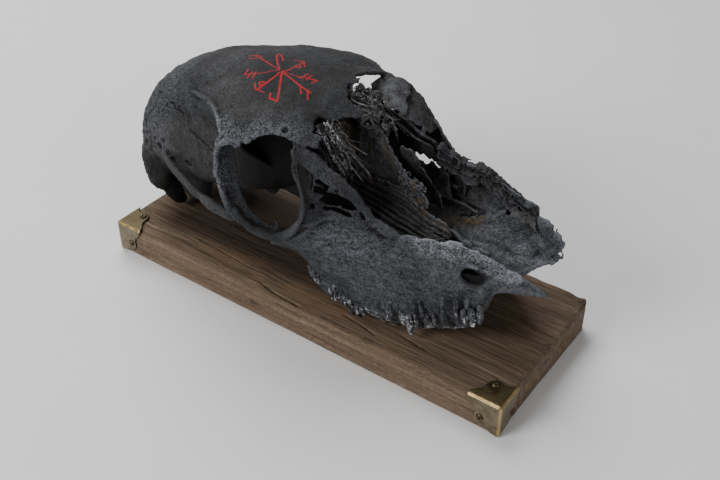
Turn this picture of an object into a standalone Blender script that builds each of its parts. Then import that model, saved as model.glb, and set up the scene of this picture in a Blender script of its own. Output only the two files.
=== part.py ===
import bpy
import bmesh
import math
import numpy as np
from mathutils import Matrix, Vector

# An elk skull, blackened and weathered, that lies on an old board with two brass corner brackets.
# X runs along the board towards the snout, Y away from the near side, Z up.
# The origin is the middle of the board's underside. Every size below is in millimetres.

mm = 0.001

# Board
board_length = 390.0
board_width = 150.0
board_height = 30.0

# Skull: the plane that halves it, its two sides, and how finely its bones are fused
skull_middle = 8.0
near = -1
far = 1
fuse_voxel = 2.2
skull_triangles = 5900

# Thickness of the bone
braincase_wall = 6.0
bone_wall = 5.0
thin_wall = 4.5
thinnest_wall = 4.0

# Joint gap between pieces that touch
gap = 0.3


# Scene, collections and materials

for old in list(bpy.data.objects):
    bpy.data.objects.remove(old, do_unlink=True)

parts = bpy.data.collections.new("elk_skull")
cutters = bpy.data.collections.new("elk_skull_cutters")
bpy.context.scene.collection.children.link(parts)
bpy.context.scene.collection.children.link(cutters)


def material(name, colour, roughness, metallic=0.0):
    made = bpy.data.materials.new(name)
    made.use_nodes = True
    shader = made.node_tree.nodes["Principled BSDF"]
    shader.inputs["Base Color"].default_value = (*colour, 1.0)
    shader.inputs["Roughness"].default_value = roughness
    shader.inputs["Metallic"].default_value = metallic
    return made


blackened_bone = material("blackened_bone", (0.035, 0.036, 0.040), 0.62)
tooth_enamel = material("tooth_enamel", (0.10, 0.085, 0.065), 0.45)
weathered_oak = material("weathered_oak", (0.085, 0.052, 0.033), 0.85)
aged_brass = material("aged_brass", (0.23, 0.17, 0.07), 0.38, 1.0)
dark_steel = material("dark_steel", (0.06, 0.05, 0.04), 0.45, 1.0)


# Working with shapes

def add_object(name, mesh, finish, collection=parts):
    made = bpy.data.objects.new(name, mesh)
    made.data.materials.clear()
    made.data.materials.append(finish)
    collection.objects.link(made)
    return made


def spline(points, count):
    # Catmull-Rom curve through the points, read at evenly spaced parameters.
    points = np.asarray(points, float)
    padded = np.vstack([2 * points[0] - points[1], points, 2 * points[-1] - points[-2]])
    place = np.linspace(0.0, len(points) - 1.0, count)
    first = np.minimum(place.astype(int), len(points) - 2)
    t = (place - first)[:, None]
    a, b, c, d = (padded[first + step] for step in range(4))
    return 0.5 * (2 * b + (c - a) * t + (2 * a - 5 * b + 4 * c - d) * t ** 2
                  + (3 * b - a - 3 * c + d) * t ** 3)


def grid_through(rows, across, along):
    # A smooth grid of points through rows of control points.
    fine_rows = [spline(row, across) for row in rows]
    columns = [spline([row[i] for row in fine_rows], along) for i in range(across)]
    return np.stack(columns, axis=1)


def on_side(side, x, half, z):
    # A point given by its distance from the skull's middle plane.
    return (x, skull_middle + side * half, z)


def mesh_of_grid(name, grid, closed):
    # Quads between neighbouring grid points; a closed grid joins its last column to its first.
    along, across = grid.shape[:2]
    corners = [tuple(point * mm) for point in grid.reshape(-1, 3)]
    faces = []
    for i in range(along - 1):
        for j in range(across if closed else across - 1):
            k = (j + 1) % across
            faces.append((i * across + j, i * across + k, (i + 1) * across + k, (i + 1) * across + j))
    mesh = bpy.data.meshes.new(name)
    mesh.from_pydata(corners, [], faces)
    return mesh


def sheet(name, rows, thickness, across=12, along=16, offset=0.0):
    # A bent plate: a smooth surface through the rows, given its thickness.
    made = add_object(name, mesh_of_grid(name, grid_through(rows, across, along), False),
                      blackened_bone, cutters)
    wall = made.modifiers.new("wall", "SOLIDIFY")
    wall.thickness = thickness * mm
    wall.offset = offset
    return made


def ring(x, half, low, high, side=far, inner=None, power=2.4, count=20):
    # A rounded section square to X. With an inner half-width it lies to one side of the middle.
    start = -half if inner is None else inner
    centre, radius = (half + start) / 2, (half - start) / 2
    turn = np.linspace(0.0, 2 * math.pi, count, endpoint=False)
    y = np.sign(np.cos(turn)) * np.abs(np.cos(turn)) ** (2 / power) * radius + centre
    z = np.sign(np.sin(turn)) * np.abs(np.sin(turn)) ** (2 / power) * (high - low) / 2
    return [on_side(side, x, y[i], (high + low) / 2 + z[i]) for i in range(count)]


def loft(name, rings, along, caps=True):
    # A body carried through unlike sections, with its ends filled.
    rings = np.asarray(rings, float)
    columns = [spline(rings[:, i], along) for i in range(rings.shape[1])]
    mesh = mesh_of_grid(name, np.stack(columns, axis=1), True)
    if caps:
        work = bmesh.new()
        work.from_mesh(mesh)
        bmesh.ops.holes_fill(work, edges=[edge for edge in work.edges if edge.is_boundary], sides=0)
        bmesh.ops.recalc_face_normals(work, faces=work.faces)
        work.to_mesh(mesh)
        work.free()
    return add_object(name, mesh, blackened_bone, cutters)


def bar(name, points, radii, count=24):
    # A round bar of changing thickness along a smooth path.
    curve = bpy.data.curves.new(name, "CURVE")
    curve.dimensions = "3D"
    curve.bevel_depth = mm
    curve.bevel_resolution = 3
    curve.use_fill_caps = True
    line = curve.splines.new("POLY")
    path = spline(points, count)
    girth = np.interp(np.linspace(0, 1, count), np.linspace(0, 1, len(radii)), radii)
    line.points.add(count - 1)
    for point, place, radius in zip(line.points, path, girth):
        point.co = (*(place * mm), 1.0)
        point.radius = radius
    made = bpy.data.objects.new(name, curve)
    cutters.objects.link(made)
    return made


def lump(name, centre, radii, lean=0.0):
    # An egg-shaped swelling, leaned about Y.
    work = bmesh.new()
    bmesh.ops.create_uvsphere(work, u_segments=16, v_segments=10, radius=1.0)
    size = Matrix.Diagonal((*(radius * mm for radius in radii), 1.0))
    place = Matrix.Translation(Vector(centre) * mm) @ Matrix.Rotation(lean, 4, "Y") @ size
    bmesh.ops.transform(work, matrix=place, verts=work.verts)
    mesh = bpy.data.meshes.new(name)
    work.to_mesh(mesh)
    work.free()
    return add_object(name, mesh, blackened_bone, cutters)


# The skull's bones, each made once for either side

def braincase():
    sections = [(-193, 16, 72, 107), (-192, 27, 63, 121), (-186, 41, 60, 136), (-176, 47, 60, 150),
                (-160, 51, 64, 162), (-136, 53, 70, 173), (-110, 53, 75, 181), (-85, 50, 80, 187),
                (-60, 42, 88, 189), (-38, 32, 96, 186), (-18, 24, 102, 180), (0, 16, 108, 168)]
    made = loft("braincase", [ring(*section) for section in sections], 40, caps=False)
    wall = made.modifiers.new("wall", "SOLIDIFY")
    wall.thickness = braincase_wall * mm
    wall.offset = 1.0
    return [made]


def roof_height(x, half):
    top = np.interp(x, [-195, -157, -135, -110, -90, -60, -30, 0, 20, 45],
                    [136, 165, 175, 184, 190, 195, 195, 191, 183, 163])
    swell = 3.5 * np.exp(-((x + 38) / 28) ** 2 - ((abs(half) - 62) / 20) ** 2)
    return top - 0.0044 * half ** 2 + swell


def forehead():
    # Rows from back to front; half-widths of the near and the far edge.
    rows = [(-135, 30, 30, 8), (-112, 44, 44, 4), (-90, 56, 56, 2), (-75, 66, 66, 2), (-60, 79, 79, 2),
            (-42, 84, 84, 2), (-26, 74, 76, 2), (-12, 66, 68, 2), (2, 60, 46, 2), (14, 54, 36, 2),
            (30, 33, 16, 2), (42, 24, 4, 2)]
    made = []
    for x, near_half, far_half, sunk in rows:
        halves = np.linspace(-near_half, far_half, 9)
        made.append([(x, skull_middle + half, roof_height(x, half) - sunk) for half in halves])
    return [sheet("forehead", made, bone_wall, across=24, along=30)]


def orbit_rim(side):
    rear = [(-55, 80, 168), (-59, 82, 152), (-59, 84, 130), (-54, 86, 111), (-42, 88, 101)]
    lower = [(-42, 88, 101), (-22, 88, 95), (-2, 85, 96), (13, 79, 106)]
    front = [(13, 79, 106), (19, 71, 124), (15, 65, 142), (2, 61, 158), (-10, 66, 170)]
    return [bar("orbit_rear", [on_side(side, *spot) for spot in rear], (5, 4.5, 4.5, 5, 5.5)),
            bar("orbit_lower", [on_side(side, *spot) for spot in lower], (5.5, 5.5, 5.5, 5)),
            bar("orbit_front", [on_side(side, *spot) for spot in front], (5, 4, 3.5, 4, 5))]


def cheek_arch(side):
    path = [(-156, 54, 104), (-136, 63, 101), (-112, 72, 99), (-88, 80, 98), (-62, 86, 99), (-42, 88, 101)]
    upper = [on_side(side, x, half, z + 4) for x, half, z in path]
    lower = [on_side(side, x, half + 1, z - 4) for x, half, z in path]
    return [sheet("cheek_arch", [upper, lower], braincase_wall, across=24, along=4)]


def jaw_wall(side):
    # Stations along X; half-width and height from the tooth row up to the eye or the broken edge.
    rows = [(-10, (44, 64), (56, 74), (70, 81), (82, 87), (88, 91)),
            (8, (50, 48), (58, 60), (68, 75), (78, 90), (82, 100)),
            (25, (54, 41), (60, 56), (66, 75), (69, 95), (64, 116)),
            (45, (60, 38), (63, 56), (64, 75), (60, 95), (50, 116)),
            (65, (61, 37), (63, 53), (61, 72), (55, 92), (42, 108)),
            (85, (57, 37), (59, 52), (57, 70), (51, 90), (38, 109)),
            (105, (52, 39), (54, 55), (52, 72), (46, 92), (34, 111)),
            (125, (45, 42), (47, 58), (46, 75), (42, 93), (28, 112)),
            (145, (38, 52), (39, 64), (39, 77), (35, 93), (25, 109)),
            (151, (34, 68), (35, 77), (35, 84), (32, 95), (23, 107)),
            (158, (32, 84), (32, 88), (31, 92), (28, 99), (20, 105)),
            (176, (27, 88), (27, 91), (25, 95), (22, 99), (19, 101)),
            (193, (22, 90), (22, 91), (21, 92), (20, 93), (20, 94))]
    if side == far:
        rows = rows[:-2]
        rows[2] = (25, (54, 38), (60, 55), (65, 75), (66, 92), (64, 104))
        rows[3] = (45, (60, 35), (63, 55), (64, 75), (60, 90), (54, 104))
    stations = [[on_side(side, x, half, z) for half, z in points] for x, *points in rows]
    return [sheet("jaw_wall", stations, bone_wall, across=20, along=44)]


def far_face():
    # The far wall still stands up to the broken nasal edge.
    rows = [(0, (80, 104), (68, 140), (60, 160), (54, 178)),
            (15, (72, 112), (64, 140), (58, 160), (54, 177)),
            (30, (62, 124), (60, 138), (57, 155), (54, 172)),
            (45, (55, 122), (55, 130), (53, 139), (51, 148)),
            (62, (46, 108), (48, 117), (47, 125), (44, 131)),
            (85, (42, 106), (44, 114), (43, 122), (40, 131)),
            (107, (38, 106), (39, 114), (39, 122), (37, 131)),
            (130, (32, 106), (33, 112), (33, 118), (31, 125)),
            (152, (26, 104), (27, 109), (27, 114), (26, 119))]
    stations = [[on_side(far, x, half, z) for half, z in points] for x, *points in rows]
    return [sheet("far_face", stations, thinnest_wall, across=14, along=30)]


def far_nasal():
    # The far nasal bone: a plate that slopes to the snout and ends in a ragged edge.
    rows = [(4, (56, 176), (48, 174), (38, 168), (30, 162)),
            (16, (55, 177), (44, 177), (32, 174), (20, 170)),
            (30, (54, 172), (44, 173), (32, 172), (22, 168)),
            (42, (53, 160), (44, 163), (34, 163), (28, 160)),
            (50, (51, 150), (45, 152), (40, 152), (36, 151))]
    stations = [[on_side(far, x, half, z) for half, z in points] for x, *points in rows]
    return [sheet("far_nasal", stations, thin_wall, across=12, along=16)]


def eye_socket_wall(side):
    # The wall between the eye socket and the nose, from the roof down to the palate.
    # The far one is broken away below the roof.
    rows = [(174, (-34, 26), (-14, 42), (4, 54)), (150, (-32, 28), (-10, 44), (11, 60)),
            (122, (-30, 27), (-8, 46), (14, 66)), (98, (-26, 24), (-6, 42), (8, 64)),
            (84, (-20, 24), (-2, 38), (8, 48))]
    if side == far:
        rows[:2] = [(146, (-32, 28), (-10, 44), (12, 62)), (136, (-31, 27), (-9, 45), (13, 64))]
    stations = [[on_side(side, x, half, z) for x, half in points] for z, *points in rows]
    return [sheet("eye_socket_wall", stations, bone_wall, across=10, along=16)]


def near_strut():
    # The bone left standing between the near eye socket and the open nose.
    upper = [(-8, 60, 175), (0, 55, 168), (22, 51, 155), (42, 47, 138), (59, 44, 119), (78, 40, 106)]
    lower = [(2, 64, 154), (13, 60, 149), (25, 56, 140), (40, 50, 127), (54, 46, 115), (72, 45, 101)]
    return [sheet("near_strut", [[on_side(near, *spot) for spot in upper],
                                 [on_side(near, *spot) for spot in lower]], thin_wall, across=24, along=5)]


def tooth_bearer(side):
    # The thick bone that holds the cheek teeth.
    sections = [(4, 50, 54, 82, 36), (14, 53, 44, 84, 33), (30, 56, 40, 84, 32), (60, 61, 37, 86, 34),
                (90, 58, 37, 87, 31), (120, 47, 44, 88, 25), (140, 40, 52, 89, 20), (148, 36, 58, 90, 18),
                (153, 33, 75, 92, 18)]
    rings = [ring(x, half, low, high, side, inner) for x, half, low, high, inner in sections]
    return [loft("tooth_bearer", rings, 30)]


def palate():
    # Rows across the floor of the nose, from the far wall to the near one.
    rows = [(-4, 34, 34, 78), (30, 50, 50, 80), (60, 52, 52, 83), (90, 48, 48, 85),
            (120, 40, 40, 86), (145, 34, 34, 88), (160, 26, 31, 89), (172, -8, 28, 90), (180, -14, 25, 91)]
    made = []
    for x, near_half, far_half, z in rows:
        halves = np.linspace(-near_half, far_half, 7)
        made.append([(x, skull_middle + half, z + 0.004 * half ** 2) for half in halves])
    return [sheet("palate", made, bone_wall, across=16, along=24)]


def vomer():
    # The upright plate along the middle of the nose.
    upper = [(-30, 0, 120), (0, 0, 128), (40, 0, 124), (75, 0, 108), (100, 0, 96), (130, 0, 92)]
    lower = [(-30, 0, 96), (0, 0, 88), (40, 0, 82), (75, 0, 84), (100, 0, 86), (130, 0, 87)]
    return [sheet("vomer", [[on_side(far, *spot) for spot in upper],
                            [on_side(far, *spot) for spot in lower]], thinnest_wall, across=20, along=6)]


def throat_wall(side):
    # The thin wall beside the passage that runs back from the palate.
    upper = [(-70, 22, 92), (-40, 22, 98), (-10, 24, 96), (14, 28, 86)]
    lower = [(-62, 20, 66), (-40, 21, 58), (-14, 24, 60), (10, 32, 66)]
    return [sheet("throat_wall", [[on_side(side, *spot) for spot in upper],
                                  [on_side(side, *spot) for spot in lower]], bone_wall, across=14, along=6)]


def ear_region(side):
    # The swellings round the ear, the joint knob of the neck and the spur below it.
    bulla = lump("ear_bulla", on_side(side, -138, 36, 68), (15, 11, 15))
    mastoid = lump("mastoid", on_side(side, -172, 48, 84), (16, 10, 30))
    condyle = lump("condyle", on_side(side, -202, 20, 74), (14, 11, 18), lean=-0.3)
    path = [(-174, 44, 84), (-172, 40, 66), (-169, 35, 48), (-165, 31, 36)]
    spur = bar("jugular_spur", [on_side(side, *spot) for spot in path], (14, 12, 9, 5.4))
    return [bulla, mastoid, condyle, spur]


def nape_crest():
    # The raised edge that frames the back of the skull.
    path = [(-165, -51, 98), (-172, -47, 122), (-181, -33, 138), (-187, 0, 144),
            (-181, 33, 138), (-172, 47, 122), (-165, 51, 98)]
    return [bar("nape_crest", [on_side(far, *spot) for spot in path], (4, 4.5, 4.5, 5, 4.5, 4.5, 4), 30)]


def ethmoid():
    # The block between the eye sockets that closes the nose from the brain.
    return [lump("ethmoid", on_side(far, 2, 0, 142), (20, 22, 34))]


def evaluated_mesh(thing):
    graph = bpy.context.evaluated_depsgraph_get()
    return bpy.data.meshes.new_from_object(thing.evaluated_get(graph))


def fuse(name, pieces):
    # All the bones in one mesh, closed over by a fine voxel skin.
    work = bmesh.new()
    for piece in pieces:
        mesh = evaluated_mesh(piece)
        mesh.transform(piece.matrix_world)
        work.from_mesh(mesh)
        bpy.data.meshes.remove(mesh)
    bmesh.ops.remove_doubles(work, verts=work.verts, dist=0.00001)
    mesh = bpy.data.meshes.new(name)
    work.to_mesh(mesh)
    work.free()
    for piece in pieces:
        bpy.data.objects.remove(piece, do_unlink=True)
    made = add_object(name, mesh, blackened_bone)
    skin = made.modifiers.new("skin", "REMESH")
    skin.mode = "VOXEL"
    skin.voxel_size = fuse_voxel * mm
    soft = made.modifiers.new("soft", "SMOOTH")
    soft.factor = 0.5
    soft.iterations = 4
    return made


def thin_out(made, triangles):
    graph = bpy.context.evaluated_depsgraph_get()
    mesh = bpy.data.meshes.new_from_object(made.evaluated_get(graph))
    faces = sum(len(face.vertices) - 2 for face in mesh.polygons)
    print("fused skull triangles", faces)
    made.modifiers.clear()
    made.data = mesh
    sparse = made.modifiers.new("sparse", "DECIMATE")
    sparse.ratio = triangles / faces
    sparse.use_collapse_triangulate = True
    return made


def skull():
    bones = braincase() + forehead() + far_face() + far_nasal() + near_strut() + palate() + vomer()
    bones += nape_crest() + ethmoid()
    for side in (near, far):
        bones += orbit_rim(side) + cheek_arch(side) + jaw_wall(side) + tooth_bearer(side)
        bones += throat_wall(side) + ear_region(side) + eye_socket_wall(side)
    bpy.context.view_layer.update()
    return thin_out(fuse("skull", bones), skull_triangles)


# Broken cheek teeth, front to back: place along X, distance from the skull's middle plane, length,
# width, height of the lower end and turn in degrees. The two longest stand on the board.

on_board = board_height + gap
tooth_rows = [(140, 31, 15, 10, 50.0, 20), (121, 38, 17, 12, 41.0, 18), (101, 44, 18, 14, 35.0, 14),
              (78, 48, 20, 15, on_board, 8), (53, 50, 22, 15, on_board, 0), (28, 46, 21, 14, 34.0, -8)]
tooth_height = 16.0


def tooth_block(name, side, row, spare, finish, collection):
    # Two rounded columns in one: an oval waisted at its middle, narrower at the root.
    x, half, length, width, low, turn = row
    turns = np.linspace(0.0, 2 * math.pi, 12, endpoint=False)
    waist = 1.0 - 0.16 * np.abs(np.sin(turns)) ** 6
    across = np.stack([np.cos(turns) * (length / 2 + spare),
                       np.sin(turns) * waist * (width / 2 + spare)], axis=1)
    lean = math.radians(turn * -side)
    turned = across @ np.array([[math.cos(lean), math.sin(lean)], [-math.sin(lean), math.cos(lean)]])
    heights = [(low - spare * 4, 0.9), (low + 3.0, 1.0), (low + tooth_height + spare, 0.8)]
    rings = []
    for z, size in heights:
        outline = turned * size + np.array([x, skull_middle + side * half])
        rings.append(np.column_stack([outline, np.full(len(outline), z)]))
    block = loft(name, rings, len(rings))
    block.data.materials.clear()
    block.data.materials.append(finish)
    if collection is not cutters:
        cutters.objects.unlink(block)
        collection.objects.link(block)
    return block


def cut(thing, cutter):
    cutter.hide_render = True
    cutter.display_type = "WIRE"
    saw = thing.modifiers.new("cut_" + cutter.name, "BOOLEAN")
    saw.operation = "DIFFERENCE"
    saw.object = cutter


def round_post(name, radius, length, sides):
    work = bmesh.new()
    bmesh.ops.create_cone(work, cap_ends=True, segments=sides, radius1=radius * mm, radius2=radius * mm,
                          depth=length * mm)
    mesh = bpy.data.meshes.new(name)
    work.to_mesh(mesh)
    work.free()
    return mesh


def tunnel(name, middle, direction, radius, length, sides=12):
    # A round cutter for a hole, centred on its middle and laid along its direction.
    post = bpy.data.objects.new(name, round_post(name, radius, length, sides))
    post.location = Vector(middle) * mm
    post.rotation_euler = Vector(direction).to_track_quat("Z", "Y").to_euler()
    cutters.objects.link(post)
    return post


cheek_nerve_radius = 5.5
roof_gap_radius = 9.0


def bone_holes(bone):
    # The hole of the cheek nerve in either jaw wall, and the gap in the roof by the far nasal bone.
    for side, word in ((near, "right"), (far, "left")):
        middle = on_side(side, 141, 42, 94)
        cut(bone, tunnel("cheek_nerve_" + word, middle, (0.5, side, 0.1), cheek_nerve_radius, 26.0))
    cut(bone, tunnel("roof_gap", on_side(far, 5, 21, 184), (0, -0.3, 1), roof_gap_radius, 30.0))


def teeth(bone):
    for side, word in ((near, "right"), (far, "left")):
        for count, row in enumerate(tooth_rows, start=1):
            name = f"{word}_tooth_{count}"
            tooth_block(name, side, row, 0.0, tooth_enamel, parts)
            cut(bone, tooth_block("socket_" + name, side, row, gap, tooth_enamel, cutters))


# Board, brackets and screws

worn_edge = 2.0
worn_corner = 9.0
bracket_reach = 27.0
bracket_wall = 1.2
bracket_round = 2.4
bracket_notch = 7.0
screw_head = 3.1
screw_dome = 1.5
screw_shank = 1.3
screw_length = 10.0

# Screws on each face of a bracket: distance in from the board's end, from its near edge, and height
screw_spots = {"top": (14.0, 17.5, board_height), "side": (15.0, 0.0, 13.5), "end": (0.0, 18.5, 12.0)}


def box(name, low, high, finish):
    work = bmesh.new()
    bmesh.ops.create_cube(work, size=1.0)
    low, high = Vector(low) * mm, Vector(high) * mm
    size = Matrix.Diagonal((*(high - low), 1.0))
    bmesh.ops.transform(work, matrix=Matrix.Translation((low + high) / 2) @ size, verts=work.verts)
    mesh = bpy.data.meshes.new(name)
    work.to_mesh(mesh)
    work.free()
    return add_object(name, mesh, finish)


def board():
    # A sawn plank with worn edges. Its far front corner is rubbed rounder than the others.
    low = (-board_length / 2, -board_width / 2, 0)
    high = (board_length / 2, board_width / 2, board_height)
    made = box("board", low, high, weathered_oak)
    work = bmesh.new()
    work.from_mesh(made.data)
    for edge in [edge for edge in work.edges if abs(edge.verts[0].co.z - edge.verts[1].co.z) > mm]:
        rounder = edge.verts[0].co.x > 0 and edge.verts[0].co.y > 0
        bmesh.ops.bevel(work, geom=[edge], offset=(worn_corner if rounder else worn_edge) * mm,
                        segments=5 if rounder else 2, profile=0.5, affect="EDGES")
    work.to_mesh(made.data)
    work.free()
    worn = made.modifiers.new("worn_edges", "BEVEL")
    worn.width = worn_edge * mm
    worn.segments = 2
    worn.limit_method = "ANGLE"
    worn.angle_limit = math.radians(60)
    return made


def bracket(name, end):
    # A pressed corner: top, side and end plates bent from one sheet, open below and behind.
    outer = gap + bracket_wall
    low = (board_length / 2 - bracket_reach, -board_width / 2 - outer, 1.0)
    high = (board_length / 2 + outer, -board_width / 2 + bracket_reach, board_height + outer)
    made = box(name, low, high, aged_brass)
    work = bmesh.new()
    work.from_mesh(made.data)
    open_faces = [face for face in work.faces
                  if face.normal.x < -0.5 or face.normal.y > 0.5 or face.normal.z < -0.5]
    bmesh.ops.delete(work, geom=open_faces, context="FACES")
    folds = [edge for edge in work.edges if len(edge.link_faces) == 2]
    bmesh.ops.bevel(work, geom=folds, offset=bracket_round * mm, segments=3, profile=0.5, affect="EDGES")
    if end < 0:
        bmesh.ops.scale(work, vec=(-1, 1, 1), verts=work.verts)
        bmesh.ops.reverse_faces(work, faces=work.faces)
    work.to_mesh(made.data)
    work.free()
    wall = made.modifiers.new("wall", "SOLIDIFY")
    wall.thickness = bracket_wall * mm
    wall.offset = -1.0
    inner_corner = (end * (board_length / 2 - bracket_reach - 0.5),
                    -board_width / 2 + bracket_reach + 0.5, board_height)
    cut(made, tunnel(name + "_notch", inner_corner, (0, 0, 1), bracket_notch, 20.0, sides=20))
    return made


def screw(name, spot, outward):
    # A domed head on a plain shank, turned about Z and laid along its hole.
    profile = [(0, screw_dome), (screw_head * 0.55, screw_dome * 0.85), (screw_head * 0.9, screw_dome * 0.4),
               (screw_head, 0), (screw_shank, 0), (screw_shank, -screw_length), (0, -screw_length - 1)]
    mesh = bpy.data.meshes.new(name)
    lines = [(i, i + 1) for i in range(len(profile) - 1)]
    mesh.from_pydata([(x * mm, 0, z * mm) for x, z in profile], lines, [])
    made = add_object(name, mesh, dark_steel)
    turned = made.modifiers.new("turned", "SCREW")
    turned.steps = 12
    turned.render_steps = 12
    turned.use_merge_vertices = True
    turned.merge_threshold = 0.00001
    made.location = (Vector(spot) + Vector(outward) * (bracket_wall + gap * 2)) * mm
    made.rotation_euler = Vector(outward).to_track_quat("Z", "Y").to_euler()
    return made


def screw_hole(name, spot, outward, things):
    # The same hole runs through the bracket and on into the board.
    bore = tunnel(name, spot, outward, screw_shank + gap, 2 * (screw_length + 2 * gap + 1))
    for thing in things:
        cut(thing, bore)


def brackets(plank):
    for word, end in (("front", 1), ("rear", -1)):
        plate = bracket("bracket_" + word, end)
        faces = (("top", (0, 0, 1)), ("side", (0, -1, 0)), ("end", (end, 0, 0)))
        for count, (face, outward) in enumerate(faces, start=1):
            x, y, z = screw_spots[face]
            spot = (end * (board_length / 2 - x), -board_width / 2 + y, z)
            screw(f"screw_{word}_{count}", spot, outward)
            screw_hole(f"bore_{word}_{count}", spot, outward, (plank, plate))


brackets(board())
elk = skull()
bone_holes(elk)
teeth(elk)
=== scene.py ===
import math
import bmesh
import bpy
import numpy as np
from mathutils import Matrix, Vector


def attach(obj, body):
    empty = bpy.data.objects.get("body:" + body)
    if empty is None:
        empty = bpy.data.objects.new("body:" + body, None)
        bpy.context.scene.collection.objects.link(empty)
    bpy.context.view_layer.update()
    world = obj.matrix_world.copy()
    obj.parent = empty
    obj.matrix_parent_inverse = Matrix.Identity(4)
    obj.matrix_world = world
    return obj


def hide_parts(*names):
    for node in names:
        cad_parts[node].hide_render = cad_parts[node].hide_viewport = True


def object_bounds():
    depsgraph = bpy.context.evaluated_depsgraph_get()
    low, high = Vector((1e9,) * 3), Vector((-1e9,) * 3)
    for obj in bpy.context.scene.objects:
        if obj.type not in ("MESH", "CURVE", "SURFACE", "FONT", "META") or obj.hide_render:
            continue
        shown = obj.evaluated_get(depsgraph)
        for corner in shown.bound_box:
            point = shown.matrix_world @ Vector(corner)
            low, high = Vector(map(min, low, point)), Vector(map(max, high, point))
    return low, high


# A blackened, broken elk skull that lies on an old oak board with two brass corner brackets.
# Places and sizes are in millimetres, in the frame's own axes, until a mesh is made.

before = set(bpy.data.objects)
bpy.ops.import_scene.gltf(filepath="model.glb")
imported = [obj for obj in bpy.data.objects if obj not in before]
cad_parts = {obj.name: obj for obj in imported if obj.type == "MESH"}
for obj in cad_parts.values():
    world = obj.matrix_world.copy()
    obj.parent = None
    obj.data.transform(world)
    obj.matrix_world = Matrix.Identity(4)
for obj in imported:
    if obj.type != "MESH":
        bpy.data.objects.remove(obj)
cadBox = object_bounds()
mm = 0.001
near, far = -1, 1  # the skull's right half, towards the camera, and its left half
skullMiddle = 8.0
boardTop = 30.0


# Noise, worked out for whole arrays of places

def cornerValue(x, y, z, seed):  # whole numbers mixed by large odd factors into a repeatable value from 0 to 1
    mixed = (x * 374761393 + y * 668265263 + z * 1440662683 + seed * 974634777) & 0xFFFFFFFF
    mixed = ((mixed ^ (mixed >> 13)) * 1274126177) & 0xFFFFFFFF
    return ((mixed ^ (mixed >> 16)) & 0xFFFF) / 65535.0


def softNoise(places, cell, seed):  # corner values of a cubic lattice, blended smoothly, from -1 to 1
    scaled = places / cell
    corner = np.floor(scaled).astype(np.int64)
    part = scaled - corner
    part = part * part * (3 - 2 * part)
    total = np.zeros(len(places))
    for step in range(8):
        dx, dy, dz = step & 1, step >> 1 & 1, step >> 2
        weight = ((part[:, 0] if dx else 1 - part[:, 0]) * (part[:, 1] if dy else 1 - part[:, 1])
                  * (part[:, 2] if dz else 1 - part[:, 2]))
        total += weight * cornerValue(corner[:, 0] + dx, corner[:, 1] + dy, corner[:, 2] + dz, seed)
    return 2 * total - 1


def roughNoise(places, cell, layers, seed):  # soft noise plus finer layers, each half as wide and weaker
    total, strength = np.zeros(len(places)), 1.0
    for layer in range(layers):
        total += strength * softNoise(places + 31.7 * layer, cell / 2 ** layer, seed + layer)
        strength *= 0.55
    return total


def pitDistance(places, cell, seed):  # distance to the nearest of one random point in every cube, in cells
    scaled = places / cell
    corner = np.floor(scaled).astype(np.int64)
    nearest = np.full(len(places), 9.0)
    for dx in (-1, 0, 1):
        for dy in (-1, 0, 1):
            for dz in (-1, 0, 1):
                cx, cy, cz = corner[:, 0] + dx, corner[:, 1] + dy, corner[:, 2] + dz
                spot = np.stack([cx + cornerValue(cx, cy, cz, seed), cy + cornerValue(cx, cy, cz, seed + 1),
                                 cz + cornerValue(cx, cy, cz, seed + 2)], axis=1)
                nearest = np.minimum(nearest, np.linalg.norm(spot - scaled, axis=1))
    return nearest


def rise(values, low, high):  # 0 below low, 1 above high, with an eased slope between
    part = np.clip((values - low) / (high - low), 0, 1)
    return part * part * (3 - 2 * part)


def fall(values, low, high):  # 1 below low, 0 above high, with an eased slope between
    return rise(-values, -high, -low)


def lineDistance(places, path):  # the shortest distance to a line of straight pieces
    nearest = np.full(len(places), 1e9)
    path = np.asarray(path, float)
    for start, end in zip(path[:-1], path[1:]):
        along = end - start
        share = np.clip((places - start) @ along / (along @ along), 0, 1)
        nearest = np.minimum(nearest, np.linalg.norm(places - start - share[:, None] * along, axis=1))
    return nearest


def eggDistance(places, centre, radii):  # distance from a centre, as a share of the radius along each axis
    return np.linalg.norm((places - np.array(centre)) / np.array(radii), axis=1)


def noiseThreeWays(places, cell, seeds):  # rough noise of its own along each axis
    return np.stack([roughNoise(places, cell, 3, seed) for seed in seeds], axis=1)


def insideOutline(x, y, outline):  # even-odd test of each place against a closed outline
    ends = np.asarray(outline, float)
    x0, y0 = ends.T
    x1, y1 = np.roll(ends, -1, axis=0).T
    crossed = ((y0 > y[:, None]) != (y1 > y[:, None])) & (
        x[:, None] < (x1 - x0) * (y[:, None] - y0) / (y1 - y0 + 1e-9) + x0)
    return crossed.sum(axis=1) % 2 == 1


# Surfaces as grids of places

def atSide(side, x, half, z):  # a place given by its distance from the skull's middle plane
    return (x, skullMiddle + side * half, z)


def sideLine(side, spots):  # the same for a row of places
    return [atSide(side, *spot) for spot in spots]


def sided(grid, side):  # a whole grid given by distances from the middle plane
    made = grid.copy()
    made[..., 1] = skullMiddle + side * grid[..., 1]
    return made


def rowsAlong(rows):  # rows given as x, then a half-width and a height for each spot
    return [[(x, half, z) for half, z in spots] for x, *spots in rows]


def spline(spots, count):  # a smooth (Catmull-Rom) line through the spots
    spots = np.asarray(spots, float)
    padded = np.concatenate([2 * spots[:1] - spots[1:2], spots, 2 * spots[-1:] - spots[-2:-1]])
    place = np.linspace(0, len(spots) - 1, count)
    first = np.minimum(place.astype(int), len(spots) - 2)
    t = (place - first).reshape((-1,) + (1,) * (spots.ndim - 1))
    a, b, c, d = (padded[first + step] for step in range(4))
    return 0.5 * (2 * b + (c - a) * t + (2 * a - 5 * b + 4 * c - d) * t ** 2 + (3 * b - a - 3 * c + d) * t ** 3)


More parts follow.
